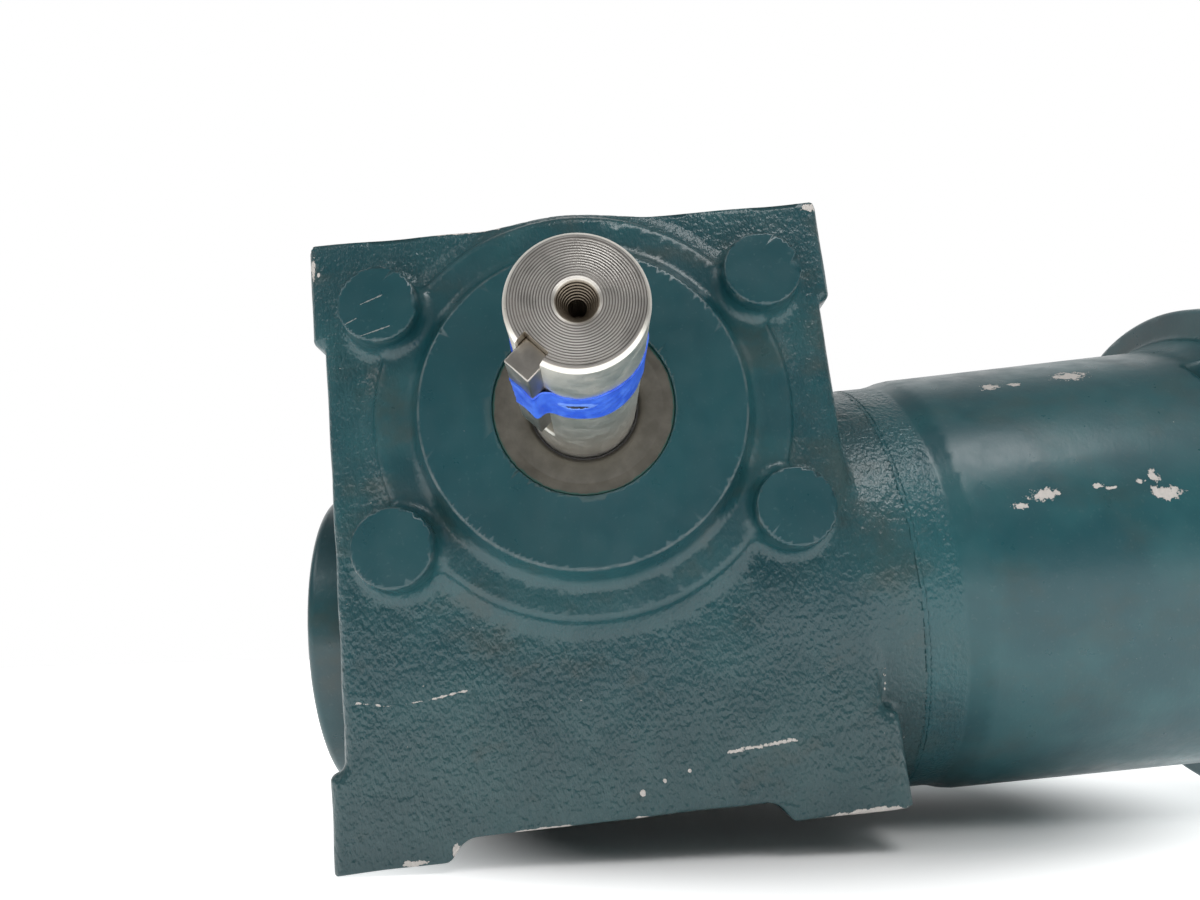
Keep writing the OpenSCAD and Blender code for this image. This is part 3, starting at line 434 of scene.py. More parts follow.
def tidy_mesh(made, sharp):
    """Faces outwards, smooth but for edges steeper than sharp degrees."""
    work = bmesh.new()
    work.from_mesh(made.data)
    bmesh.ops.remove_doubles(work, verts=work.verts, dist=1e-7)
    bmesh.ops.recalc_face_normals(work, faces=work.faces)
    work.to_mesh(made.data)
    work.free()
    made.data.polygons.foreach_set("use_smooth", np.ones(len(made.data.polygons), bool))
    made.data.set_sharp_from_angle(angle=math.radians(sharp))


def apply_modifiers(made):
    """Replaces an object's mesh by what its modifiers make of it."""
    graph = bpy.context.evaluated_depsgraph_get()
    mesh = bpy.data.meshes.new_from_object(made.evaluated_get(graph))
    made.modifiers.clear()
    made.data = mesh


def cut_away(made, cutter):
    boolean = made.modifiers.new("cut", "BOOLEAN")
    boolean.operation = "DIFFERENCE"
    boolean.solver = "EXACT"
    boolean.object = cutter
    apply_modifiers(made)
    bpy.data.objects.remove(cutter)


def soften(made, width, angle=35, segments=2):
    """Rounds an object's steep edges, in mm."""
    bevel = made.modifiers.new("edges", "BEVEL")
    bevel.width = width * MM
    bevel.segments = segments
    bevel.limit_method = "ANGLE"
    bevel.angle_limit = math.radians(angle)
    bevel.harden_normals = False
    return made


def prism(name, section, y0, y1, material, turn=0.0):
    """A section in (across, up) pushed from y0 to y1, turned about the output axis by turn radians."""
    c = math.cos(turn)
    s = math.sin(turn)
    points = []
    for y in (y0, y1):
        points += [(MM * (a * c - b * s), MM * y, MM * (a * s + b * c)) for a, b in section]
    n = len(section)
    faces = [tuple(range(n)), tuple(range(2 * n - 1, n - 1, -1))]
    faces += [(i, (i + 1) % n, n + (i + 1) % n, n + i) for i in range(n)]
    mesh = bpy.data.meshes.new(name)
    mesh.from_pydata(points, [], faces)
    made = new_object(name, mesh, material)
    tidy_mesh(made, 28)
    return made


# ---------- materials ----------

class Shade:
    """One procedural material: short calls that add its nodes."""

    def __init__(self, name):
        self.material = bpy.data.materials.new(name)
        self.material.use_nodes = True
        self.tree = self.material.node_tree
        self.shader = next(n for n in self.tree.nodes if n.type == "BSDF_PRINCIPLED")
        self.noises = {}
        self.place = self.node("ShaderNodeTexCoord").outputs["Object"]

    def node(self, kind, **settings):
        made = self.tree.nodes.new(kind)
        for key, value in settings.items():
            setattr(made, key, value)
        return made

    def feed(self, value, socket):
        if isinstance(value, bpy.types.NodeSocket):
            self.tree.links.new(value, socket)
        else:
            socket.default_value = value

    def set(self, **values):
        """Sets the shader's sockets: underscores stand for spaces."""
        for key, value in values.items():
            self.feed(value, self.shader.inputs[key.replace("_", " ")])

    def math(self, kind, a, b=0.0, c=0.0):
        made = self.node("ShaderNodeMath", operation=kind)
        for value, socket in zip((a, b, c), made.inputs):
            self.feed(value, socket)
        return made.outputs[0]

    def vector(self, kind, a, b=(0, 0, 0)):
        made = self.node("ShaderNodeVectorMath", operation=kind)
        self.feed(a, made.inputs[0])
        self.feed(b, made.inputs[1])
        return made.outputs["Value"] if kind in ("LENGTH", "DOT_PRODUCT", "DISTANCE") else made.outputs[0]

    def xyz(self, vector=None):
        made = self.node("ShaderNodeSeparateXYZ")
        self.feed(self.place if vector is None else vector, made.inputs[0])
        return made.outputs

    def noise(self, size, detail=3.0, rough=0.5, vector=None, stretch=None, kind="Fac"):
        """Noise whose lumps are about size mm across."""
        key = (size, detail, rough, vector, stretch, kind)
        if key not in self.noises:
            where = self.place if vector is None else vector
            if stretch:
                where = self.vector("MULTIPLY", where, stretch)
            made = self.node("ShaderNodeTexNoise")
            self.feed(where, made.inputs["Vector"])
            made.inputs["Scale"].default_value = 1000 / size
            made.inputs["Detail"].default_value = detail
            made.inputs["Roughness"].default_value = rough
            self.noises[key] = made.outputs[kind]
        return self.noises[key]

    def level(self, value, low, high, to_low=0.0, to_high=1.0):
        """value's range from low to high spread over another range, and held there."""
        made = self.node("ShaderNodeMapRange", interpolation_type="SMOOTHSTEP")
        for item, key in zip((value, low, high, to_low, to_high),
                             ("Value", "From Min", "From Max", "To Min", "To Max")):
            self.feed(item, made.inputs[key])
        return made.outputs[0]

    def mix(self, share, one, two):
        """Colour mix: one where share is 0, two where it is 1."""
        made = self.node("ShaderNodeMix", data_type="RGBA")
        self.feed(share, made.inputs["Factor"])
        for value, key in ((one, "A"), (two, "B")):
            socket = next(s for s in made.inputs if s.name == key and s.type == "RGBA")
            self.feed((*value, 1.0) if isinstance(value, tuple) else value, socket)
        return next(s for s in made.outputs if s.type == "RGBA")

    def bump(self, height, depth, normal=None):
        """Bump of a 0 to 1 height, depth mm high."""
        made = self.node("ShaderNodeBump")
        made.inputs["Strength"].default_value = 1.0
        made.inputs["Distance"].default_value = depth * MM
        self.feed(height, made.inputs["Height"])
        if normal is not None:
            self.feed(normal, made.inputs["Normal"])
        return made.outputs[0]

    def most(self, *values):
        result = values[0]
        for value in values[1:]:
            result = self.math("MAXIMUM", result, value)
        return result

    def near(self, centre, size, ragged=0.5, grain=1.8):
        """1 in a ragged blot about centre, with half sizes in mm, and 0 away from it."""
        offset = self.vector("SUBTRACT", self.place, tuple(MM * v for v in centre))
        scaled = self.vector("MULTIPLY", offset, tuple(1 / (MM * v) for v in size))
        reach = self.vector("LENGTH", scaled)
        edge = self.math("MULTIPLY", self.math("SUBTRACT", self.noise(grain, 6, 0.68), 0.5), 3.4 * ragged)
        return self.level(self.math("ADD", reach, edge), 0.92, 1.0, 1.0, 0.0)

    def scratch(self, start, end, width, grain=1.5):
        """1 along a broken line between two points, in mm."""
        a = Vector(start) * MM
        along = (Vector(end) * MM - a)
        length = along.length
        offset = self.vector("SUBTRACT", self.place, tuple(a))
        t = self.math("DIVIDE", self.vector("DOT_PRODUCT", offset, tuple(along / length)), length)
        t = self.math("MINIMUM", self.math("MAXIMUM", t, 0.0), 1.0)
        scaled = self.node("ShaderNodeVectorMath", operation="SCALE")
        scaled.inputs[0].default_value = tuple(along)
        self.feed(t, scaled.inputs["Scale"])
        away = self.vector("LENGTH", self.vector("SUBTRACT", offset, scaled.outputs[0]))
        wobble = self.math("SUBTRACT", self.noise(grain, 3, 0.6), 0.5)
        wobble = self.math("MULTIPLY", wobble, 2.4 * width * MM)
        return self.level(self.math("ADD", away, wobble), 0.25 * width * MM, 0.6 * width * MM, 1.0, 0.0)


TEAL = (0.006, 0.050, 0.061)
TEAL_LIGHT = (0.013, 0.072, 0.082)
TEAL_WORN = (0.09, 0.15, 0.15)
BARE = (0.42, 0.40, 0.37)


def paint(name, cast, wear):
    """Teal enamel. cast is the depth of the casting's texture in mm; wear adds a mask of bare places."""
    shade = Shade(name)
    x, y, z = shade.xyz()
    machined = shade.level(y, 0.3 * MM, 0.8 * MM, 1.0, 0.0) if name == "cast_paint_housing" else None
    mottle = shade.level(shade.noise(26, 3, 0.55), 0.35, 0.68)
    fresh = 1.2 if name == "machined_paint_adapter" else 1.0
    colour = shade.mix(mottle, tuple(fresh * c for c in TEAL), tuple(fresh * c for c in TEAL_LIGHT))
    if machined is not None:
        colour = shade.mix(shade.math("MULTIPLY", machined, 0.6), colour, TEAL)
    dirt = 0.35 if name == "machined_paint_adapter" else 0.6
    grey = shade.level(shade.noise(22, 4, 0.6, stretch=(1, 1, 1.3)), 0.48, 0.72, 0.0, dirt)
    if machined is not None:
        grey = shade.math("MAXIMUM", grey, shade.level(z, -100 * MM, -45 * MM, 0.26, 0.0))
        grey = shade.math("MULTIPLY", grey, shade.math("SUBTRACT", 1.0, machined))
    colour = shade.mix(grey, colour, (0.034, 0.052, 0.048))
    colour = shade.mix(shade.level(shade.noise(1.2, 2, 0.5), 0.60, 0.78, 0.0, 0.20), colour, TEAL_WORN)
    rough = shade.level(shade.noise(9, 4, 0.6), 0.3, 0.7, 0.27, 0.40)
    peel = shade.noise(1.25, 2, 0.5, stretch=(1.25, 1, 0.72))
    pits = shade.level(shade.noise(2.3, 1, 0.5), 0.40, 0.62)
    peel = shade.math("ADD", shade.math("MULTIPLY", peel, 0.7), shade.math("MULTIPLY", pits, 0.13))
    if machined is not None:
        peel = shade.math("MULTIPLY", peel, shade.level(y, 0.3 * MM, 3.0 * MM, 0.03, 0.22))
        peel = shade.math("MULTIPLY", peel, shade.level(y, 5 * MM, 9.8 * MM, 1.0, 3.7))
    if name == "machined_paint_adapter":
        peel = shade.math("MULTIPLY", peel, shade.level(x, 97.5 * MM, 99.5 * MM, 1.0, 0.07))
    normal = shade.bump(peel, cast)
    normal = shade.bump(shade.noise(0.5, 2, 0.5), 0.006, normal)
    bare = wear(shade, x, y, z)
    if bare is not None:
        colour = shade.mix(bare, colour, shade.mix(shade.noise(1.1, 3, 0.6), BARE, (0.60, 0.56, 0.53)))
        rough = shade.math("MAXIMUM", rough, shade.math("MULTIPLY", bare, 0.55))
        normal = shade.bump(shade.math("SUBTRACT", 1.0, bare), 0.09, normal)
    shade.set(Base_Color=colour, Roughness=rough, Normal=normal)
    shade.set(Metallic=0.0, Specular_IOR_Level=0.44, Coat_Normal=normal)
    shade.set(Coat_Weight=0.15 if name == "machined_paint_adapter" else 0.26, Coat_Roughness=0.2)
    return shade.material


def circle_edge(shade, u, v, radius, half, low, high):
    """A broken bright line where the distance from (u, v)'s origin is radius, in mm."""
    away = shade.math("ABSOLUTE", shade.math("SUBTRACT", shade.math("SQRT", shade.math(
        "ADD", shade.math("MULTIPLY", u, u), shade.math("MULTIPLY", v, v))), radius * MM))
    line = shade.level(away, 0.4 * half * MM, half * MM, 1.0, 0.0)
    return shade.math("MULTIPLY", line, shade.level(shade.noise(5, 4, 0.65), low, high))


def housing_wear(shade, x, y, z):
    """Chips, scratches and rubbed edges on the casting, with painted highlights along the disc and boss rims
    and down the lower right edge.
    """
    faint = shade.math("MULTIPLY", 0.4, shade.most(
        shade.scratch((-58.5, BOSS_Y, 34.2), (-52.5, BOSS_Y, 36.4), 0.28),
        shade.scratch((-63.5, BOSS_Y, 28.6), (-60.0, BOSS_Y, 30.2), 0.24),
        shade.scratch((-59.0, BOSS_Y, 25.0), (-51.0, BOSS_Y, 27.2), 0.28)))
    marks = [
        shade.scratch((-68.2, FRONT_Y, -73.2), (-60, FRONT_Y, -74.8), 0.55),
        shade.scratch((-60, FRONT_Y, -74.8), (-51, FRONT_Y, -74.5), 0.4),
        shade.scratch((-49, FRONT_Y, -74.3), (-39, FRONT_Y, -73.0), 0.6),
        shade.scratch((29, FRONT_Y, -96.5), (47, FRONT_Y, -95.2), 0.9, 1.0),
        shade.near((5, FRONT_Y, -104.2), (0.75, 2, 0.9)),
        shade.near((11.2, FRONT_Y, -101.8), (0.5, 2, 0.55)),
        shade.near((18, FRONT_Y, -100), (0.55, 2, 0.5)),
        shade.near((-74.8, FRONT_Y, 52), (1.1, 3, 3.2), 0.9),
        shade.near((-73.0, FRONT_Y, 49.5), (0.5, 3, 0.9), 0.6),
        shade.near((73.6, FRONT_Y, 56.8), (3.0, 3, 1.2), 1.0, 1.6),
        shade.near((-44.6, FRONT_Y, -113.4), (1.0, 3, 2.2), 0.9, 1.8),
        shade.near((-55.5, FRONT_Y, -115.0), (2.6, 3, 0.8), 1.1, 1.8),
        shade.near((-21.5, FRONT_Y, RELIEF_Z), (9.0, 1.6, 0.75), 0.5),
        shade.near((4, FRONT_Y, RELIEF_Z), (2.2, 1.6, 0.6), 0.5),
        shade.near((64.5, FRONT_Y, FOOT_Z), (11.0, 2.0, 1.3), 0.5),
        faint,
        # A pale streak down the lower right edge of the front: a painted edge highlight.
        shade.near((75, FRONT_Y + 1, -84), (0.6, 3, 5), 1.2, 1.6),
        shade.near((-30, FRONT_Y, TOP_Z), (9, 2, 0.6), 0.9),
    ]
    # Broken pale lines along the disc and boss rims: rubbed paint and a painted highlight on the rounded
    # rims.
    disc = circle_edge(shade, x, z, DISC_R - 0.1, 0.5, 0.36, 0.62)
    fold_x = shade.math("SUBTRACT", shade.math("ABSOLUTE", x), BOSS_X * MM)
    fold_z = shade.math("SUBTRACT", shade.math("ABSOLUTE", z), BOSS_Z * MM)
    boss = circle_edge(shade, fold_x, fold_z, BOSS_R - 0.1, 0.42, 0.42, 0.66)
    front = shade.level(y, 0.4 * MM, 1.0 * MM, 1.0, 0.0)
    rim_wear_and_highlight = shade.math("MULTIPLY", shade.math("MULTIPLY", shade.math("MAXIMUM", disc, boss), front), 0.10)
    specks = shade.level(shade.noise(1.6, 2, 0.4), 0.80, 0.83, 0.0, 0.7)
    return shade.most(*marks, rim_wear_and_highlight, specks)


def adapter_wear(shade, x, y, z):
    """Chips on the barrel's front and top."""
    places = [
        ((126, 7.4, -37), (4.4, 3, 1.6)), ((118.6, 6.9, -39.5), (1.8, 3, 1.1)),
        ((142, 7.6, -36), (1.3, 3, 0.7)), ((145, 7.6, -37), (1.6, 3, 0.5)),
        ((160, 7.0, -40), (4.0, 3, 1.9)), ((154, 7.6, -36), (1.3, 3, 0.9)),
        ((158.5, 7.6, -35), (1.2, 3, 1.8)), ((156.5, 34, 3), (5.0, 3.2, 2.2)),
        ((129.5, 33, 2), (2.8, 3.2, 1.6)), ((137.5, 33, 1.8), (1.8, 2.4, 1.0)),
        ((152, 34.4, 3.2), (1.2, 2, 1)),
    ]
    marks = [shade.near(centre, size, 1.2, 1.5) for centre, size in places]
    marks.append(shade.near((150, 9.5, -22), (1, 2, 1), 0.6))
    edge = shade.near((FLANGE_X + 1, WORM_Y - 50, WORM_Z + 66), (2.0, 6, 4), 1.2)
    specks = shade.level(shade.noise(1.7, 2, 0.4), 0.80, 0.83, 0.0, 0.6)
    return shade.most(*marks, edge, specks)


def light_wear(shade, x, y, z):
    return shade.level(shade.noise(1.8, 2, 0.45), 0.79, 0.82, 0.0, 0.7)


def steel(name, colour, rough, grain, metallic=1.0, stretch=(1, 1, 1), depth=0.01, stain=0.25):
    """Bare metal: fine grain in one direction, dull patches and a little dirt."""
    shade = Shade(name)
    lines = shade.noise(grain, 2, 0.6, stretch=stretch)
    patches = shade.noise(6, 4, 0.6)
    dirt = tuple(0.45 * c for c in colour)
    tint = shade.mix(shade.level(patches, 0.45, 0.75, 0.0, stain), colour, dirt)
    bright = tuple(min(1.0, 1.25 * c) for c in colour)
    tint = shade.mix(shade.level(lines, 0.35, 0.65, 0.0, 0.22), tint, bright)
    shade.set(Base_Color=tint, Metallic=metallic)
    shade.set(Roughness=shade.level(patches, 0.3, 0.7, 0.8 * rough, 1.25 * rough))
    shade.set(Normal=shade.bump(lines, depth))
    return shade.material


def shaft_finish():
    """Ground shaft: circumferential grain, a browned keyway and centre hole, dull patches."""
    shade = Shade("shaft_steel_ground")
    x, y, z = shade.xyz()
    rho = shade.math("SQRT", shade.math("ADD", shade.math("MULTIPLY", x, x), shade.math("MULTIPLY", z, z)))
    grain = shade.noise(0.9, 3, 0.6, stretch=(0.12, 1.6, 0.12))
    patches = shade.noise(5, 4, 0.6)
    tint = shade.mix(shade.level(patches, 0.4, 0.75), (0.92, 0.89, 0.82), (0.80, 0.77, 0.70))
    front = shade.level(y, (SHAFT_Y + 0.15) * MM, (SHAFT_Y + 0.5) * MM, 1.0, 0.0)
    rings = shade.math("FRACT", shade.math("MULTIPLY", rho, 1 / (0.55 * MM)))
    groove = shade.level(rings, 0.30, 0.62)
    face = shade.mix(groove, (0.20, 0.185, 0.17), (0.52, 0.50, 0.47))
    face = shade.mix(shade.level(patches, 0.5, 0.8, 0.0, 0.5), face, (0.24, 0.21, 0.19))
    tint = shade.mix(front, tint, face)
    in_slot = shade.math("MULTIPLY", shade.level(rho, 13.6 * MM, 13.9 * MM, 1.0, 0.0),
                         shade.level(y, (SHAFT_Y + 0.3) * MM, (SHAFT_Y + 0.8) * MM))
    rust = shade.mix(shade.noise(1.4, 4, 0.65), (0.20, 0.155, 0.10), (0.36, 0.31, 0.24))
    tint = shade.mix(shade.math("MULTIPLY", in_slot, 0.85), tint, rust)
    hole = shade.level(rho, 4.2 * MM, 4.6 * MM, 1.0, 0.0)
    tint = shade.mix(shade.math("MULTIPLY", hole, 0.7), tint, (0.13, 0.105, 0.08))
    pits = shade.level(shade.noise(0.8, 2, 0.5), 0.74, 0.78, 0.0, 0.6)
    tint = shade.mix(pits, tint, (0.08, 0.075, 0.07))
    shade.set(Base_Color=tint, Metallic=1.0)
    shade.set(Roughness=shade.level(patches, 0.3, 0.7, 0.34, 0.46))
    marks = shade.math("SINE", shade.math("MULTIPLY", y, 2 * math.pi / (0.6 * MM)))
    marks = shade.math("MULTIPLY", shade.math("ADD", marks, shade.noise(1.0, 4, 0.7)), hole)
    shade.set(Normal=shade.bump(marks, 0.05, shade.bump(grain, 0.012)))
    return shade.material


def tape_finish():
    """Stretched blue film: darker at its middle, paler where it is pulled thin, with its tear painted near
    black as a painted shadow.
    """
    shade = Shade("blue_tape_film")
    strain = shade.noise(3.0, 3, 0.6, stretch=(1, 0.5, 1))
    tint = shade.mix(shade.level(strain, 0.35, 0.7), (0.018, 0.085, 0.62), (0.05, 0.16, 0.72))
    tint = shade.mix(shade.level(shade.noise(1.2, 4, 0.7), 0.62, 0.78, 0.0, 0.35), tint, (0.25, 0.38, 0.78))
    centre = tuple(TEAR)
    rim = shade.near(centre, (4.4, 2.5, 3.4), 0.2, 1.0)
    # The inside of the tear is painted near black: a painted shadow under the torn film.
    tear_painted_shadow = shade.near(centre, (2.75, 1.15, 2.4), 0.12, 1.0)
    tint = shade.mix(shade.math("MULTIPLY", rim, 0.55), tint, (0.20, 0.36, 0.80))
    tint = shade.mix(tear_painted_shadow, tint, (0.004, 0.006, 0.02))
    shade.set(Base_Color=tint, Roughness=shade.level(strain, 0.3, 0.7, 0.38, 0.55))
    shade.set(Normal=shade.bump(shade.noise(1.5, 3, 0.6), 0.05))
    shade.set(Metallic=0.0, Specular_IOR_Level=0.5)
    return shade.material


def seal_finish():
    """Dull phosphated seal case with faint turning lines, old oil and painted shade towards the shaft."""
    shade = Shade("seal_steel_dull")
    x, y, z = shade.xyz()
    rho = shade.math("SQRT", shade.math("ADD", shade.math("MULTIPLY", x, x), shade.math("MULTIPLY", z, z)))
    stains = shade.noise(7, 4, 0.65)
    tint = shade.mix(shade.level(stains, 0.35, 0.7), (0.068, 0.063, 0.051), (0.102, 0.095, 0.079))
    tint = shade.mix(shade.level(shade.noise(1.0, 3, 0.6), 0.55, 0.75, 0.0, 0.4), tint, (0.075, 0.066, 0.050))
    ragged = shade.math("ADD", rho, shade.math("MULTIPLY", shade.noise(2.2, 4, 0.6), 1.4 * MM))
    tint = shade.mix(shade.level(ragged, 25.15 * MM, 25.5 * MM, 0.0, 0.9), tint, (0.018, 0.085, 0.070))
    # Darker towards the shaft: painted shade beside the gap round the shaft.
    tint = shade.mix(shade.level(rho, 15.2 * MM, 16.2 * MM, 0.75, 0.0), tint, (0.03, 0.027, 0.022))
    lines = shade.math("SINE", shade.math("MULTIPLY", rho, 2 * math.pi / (1.1 * MM)))
    shade.set(Base_Color=tint, Metallic=0.35)
    shade.set(Roughness=shade.level(stains, 0.3, 0.7, 0.42, 0.6))
    lines = shade.math("ADD", shade.math("MULTIPLY", lines, 0.12), shade.noise(0.7, 2))
    shade.set(Normal=shade.bump(lines, 0.02))
    return shade.material


def rubber(name, colour):
    shade = Shade(name)
    dust = shade.level(shade.noise(5, 4, 0.6), 0.5, 0.8, 0.0, 0.3)
    shade.set(Base_Color=shade.mix(dust, colour, (0.07, 0.068, 0.062)), Roughness=0.62, Metallic=0.0)
    shade.set(Normal=shade.bump(shade.noise(0.5, 2), 0.015))
    return shade.material


def gasket_finish():
    shade = Shade("gasket_paper_fibre")
    fibres = shade.noise(1.2, 4, 0.7)
    paper = shade.mix(fibres, (0.16, 0.125, 0.07), (0.28, 0.235, 0.14))
    x, y, z = shade.xyz()
    across = shade.math("SUBTRACT", y, WORM_Y * MM)
    up = shade.math("SUBTRACT", z, WORM_Z * MM)
    from_worm = shade.math("SQRT", shade.math("ADD", shade.math("MULTIPLY", across, across),
                                              shade.math("MULTIPLY", up, up)))
    painted = shade.level(from_worm, 46.5 * MM, 47.5 * MM)
    shade.set(Base_Color=shade.mix(painted, paper, (0.006, 0.034, 0.040)), Roughness=0.6)
    shade.set(Normal=shade.bump(fibres, 0.03))
    return shade.material


# ---------- finishes ----------

housing_paint = paint("cast_paint_housing", 0.66, housing_wear)
adapter_paint = paint("machined_paint_adapter", 0.6, adapter_wear)
cover_paint = paint("machined_paint_covers", 0.05, light_wear)
finishes = {
    "cast_paint": housing_paint,
    "machined_paint": cover_paint,
    "shaft_steel": steel("turned_steel", (0.50, 0.49, 0.46), 0.32, 0.8),
    "key_steel": steel("key_steel_drawn", (0.38, 0.36, 0.33), 0.36, 1.0, stretch=(1, 0.15, 1)),
    "seal_steel": steel("pressed_steel", (0.20, 0.18, 0.155), 0.5, 1.5, metallic=0.8),
    "bearing_steel": steel("bearing_steel_ground", (0.62, 0.62, 0.61), 0.16, 0.6, depth=0.003, stain=0.08),
    "fastener_steel": steel("zinc_plate", (0.42, 0.41, 0.38), 0.42, 1.2, depth=0.02, stain=0.4),
    "black_steel": steel("black_oxide", (0.055, 0.053, 0.05), 0.42, 1.2, metallic=0.7, depth=0.015),
    "bronze": steel("gear_bronze", (0.52, 0.31, 0.12), 0.32, 1.0, depth=0.012),
    "iron": steel("machined_iron", (0.17, 0.175, 0.18), 0.45, 1.4, metallic=0.85, depth=0.03),
    "seal_rubber": rubber("nitrile_black", (0.014, 0.014, 0.014)),
    "spider_rubber": rubber("nitrile_grey", (0.03, 0.03, 0.03)),
    "blue_tape": tape_finish(),
    "gasket_paper": gasket_finish(),
}
slot_of = {part["node"]: part["material_slot"] for part in frame["record"]["subparts"]}
body_of = {name: node["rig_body"] for name, node in frame["nodes"].items()}


def stand_in(made, node):
    """made is shown in a CAD node's place and on its body."""
    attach(made, body_of[node])
    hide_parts(node)
    return made


# ---------- castings and covers ----------

castings = (
    ("housing_casting", housing_field, "gearbox_housing", housing_paint, 0.75),
    ("adapter_casting", adapter_field, "motor_adapter", adapter_paint, 0.8),
    ("worm_end_cover_turned", end_cover_field, "worm_end_cover", cover_paint, 0.7),
    ("rear_cover_turned", rear_cover_field, "rear_cover", cover_paint, 0.7),
)
for piece, field, node, material, voxel in castings:
    stand_in(shell(piece, field, node, material, voxel), node)


# Paint that bridges the seam between the neck and the adapter
half_bead = [(67.5, 0.5 * GASKET), (NECK_R - 0.6, 0.5 * GASKET), (NECK_R - 0.6, 0.8), (NECK_R - 0.4, 0.8),
             (NECK_R - 0.16, 0.45)]
bead = [(r, SEAM_X - 0.5 * GASKET - v) for r, v in half_bead]
bead += [(r, SEAM_X - 0.5 * GASKET + v) for r, v in reversed(half_bead)]
seam_bead = lathe("seam_paint_bead", bead, "X", adapter_paint, 240, 40)
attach(seam_bead, "gearcase")

# ---------- output shaft, key and tape ----------

def turned_face(y, r0, r1, pitch, depth):
    """Cusped grooves that a facing tool leaves, from r0 out to r1."""
    points = []
    count = int((r1 - r0) / pitch)
    for i in range(count):
        r = r0 + i * pitch
        points += [(r, y), (r + 0.25 * pitch, y + 0.75 * depth), (r + 0.5 * pitch, y + depth),
                   (r + 0.75 * pitch, y + 0.75 * depth)]
    return points + [(r0 + count * pitch, y)]


shaft_metal = shaft_finish()
rear_seat = 2 * WORM_Y - 35.4
profile = (
    [(0, SHAFT_Y + 14), (1.8, SHAFT_Y + 13), (1.8, SHAFT_Y + 4.7)]
    + [(4.2, SHAFT_Y + 0.55), (4.85, SHAFT_Y + 0.12)]
    + turned_face(SHAFT_Y, 5.0, 13.1, 0.52, 0.045)
    + [(13.2, SHAFT_Y), (14.2, SHAFT_Y + 1.02), (SHAFT_R, SHAFT_Y + 1.25), (SHAFT_R, -45), (SHAFT_R, -12)]
    + [(SHAFT_R, 12.5), (15, 13), (15, 35), (18, 35), (19, 36), (19, 63), (18, 64), (17, 64), (17, rear_seat)]
    + [(15, rear_seat), (15, 136.4), (14, 137.4), (0, 137.4)]
)
shaft = lathe("output_shaft_turned", profile, "Y", shaft_metal)
slot_half = KEY_W / 2
open_slot = [
    (KEY_BOTTOM_R, -slot_half), (KEY_BOTTOM_R + 3.0, -slot_half), (KEY_BOTTOM_R + 3.6, -slot_half - 0.45),
    (KEY_BOTTOM_R + 8, -slot_half - 4.85), (KEY_BOTTOM_R + 8, slot_half + 4.85),
    (KEY_BOTTOM_R + 3.6, slot_half + 0.45), (KEY_BOTTOM_R + 3.0, slot_half), (KEY_BOTTOM_R, slot_half),
]
cut_away(shaft, prism("keyway_cutter", open_slot, SHAFT_Y - 1, KEYWAY_Y, shaft_metal, KEY_ANGLE))
run_out = []
for i in range(97):
    t = 2 * math.pi * i / 96
    run_out.append((KEY_BOTTOM_R + 20 - 20 * math.cos(t), KEYWAY_Y + 20 * math.sin(t)))
disc_points = []
for across in (-slot_half, slot_half):
    for r, y in run_out[:-1]:
        c = math.cos(KEY_ANGLE)
        s = math.sin(KEY_ANGLE)
        disc_points.append((MM * (r * c - across * s), MM * y, MM * (r * s + across * c)))
disc_faces = [tuple(range(96)), tuple(range(191, 95, -1))]
disc_faces += [(i, (i + 1) % 96, 96 + (i + 1) % 96, 96 + i) for i in range(96)]
disc_mesh = bpy.data.meshes.new("run_out_cutter")
disc_mesh.from_pydata(disc_points, [], disc_faces)
run_out_cutter = new_object("run_out_cutter", disc_mesh, shaft_metal)
tidy_mesh(run_out_cutter, 28)
cut_away(shaft, run_out_cutter)
wheel_slot = [(-4, 14), (4, 14), (4, 20), (-4, 20)]
cut_away(shaft, prism("wheel_slot_cutter", wheel_slot, 65, 87, shaft_metal))
tidy_mesh(shaft, 26)
stand_in(shaft, "output_shaft")

key_section = [
    (KEY_BOTTOM_R, -slot_half), (KEY_BOTTOM_R + KEY_W, -slot_half),
    (KEY_BOTTOM_R + KEY_W, slot_half), (KEY_BOTTOM_R, slot_half),
]
key = prism("output_key_bar", key_section, KEY_Y[0], KEY_Y[1], finishes["key_steel"], KEY_ANGLE)
stand_in(soften(key, 0.28, segments=3), "output_key")


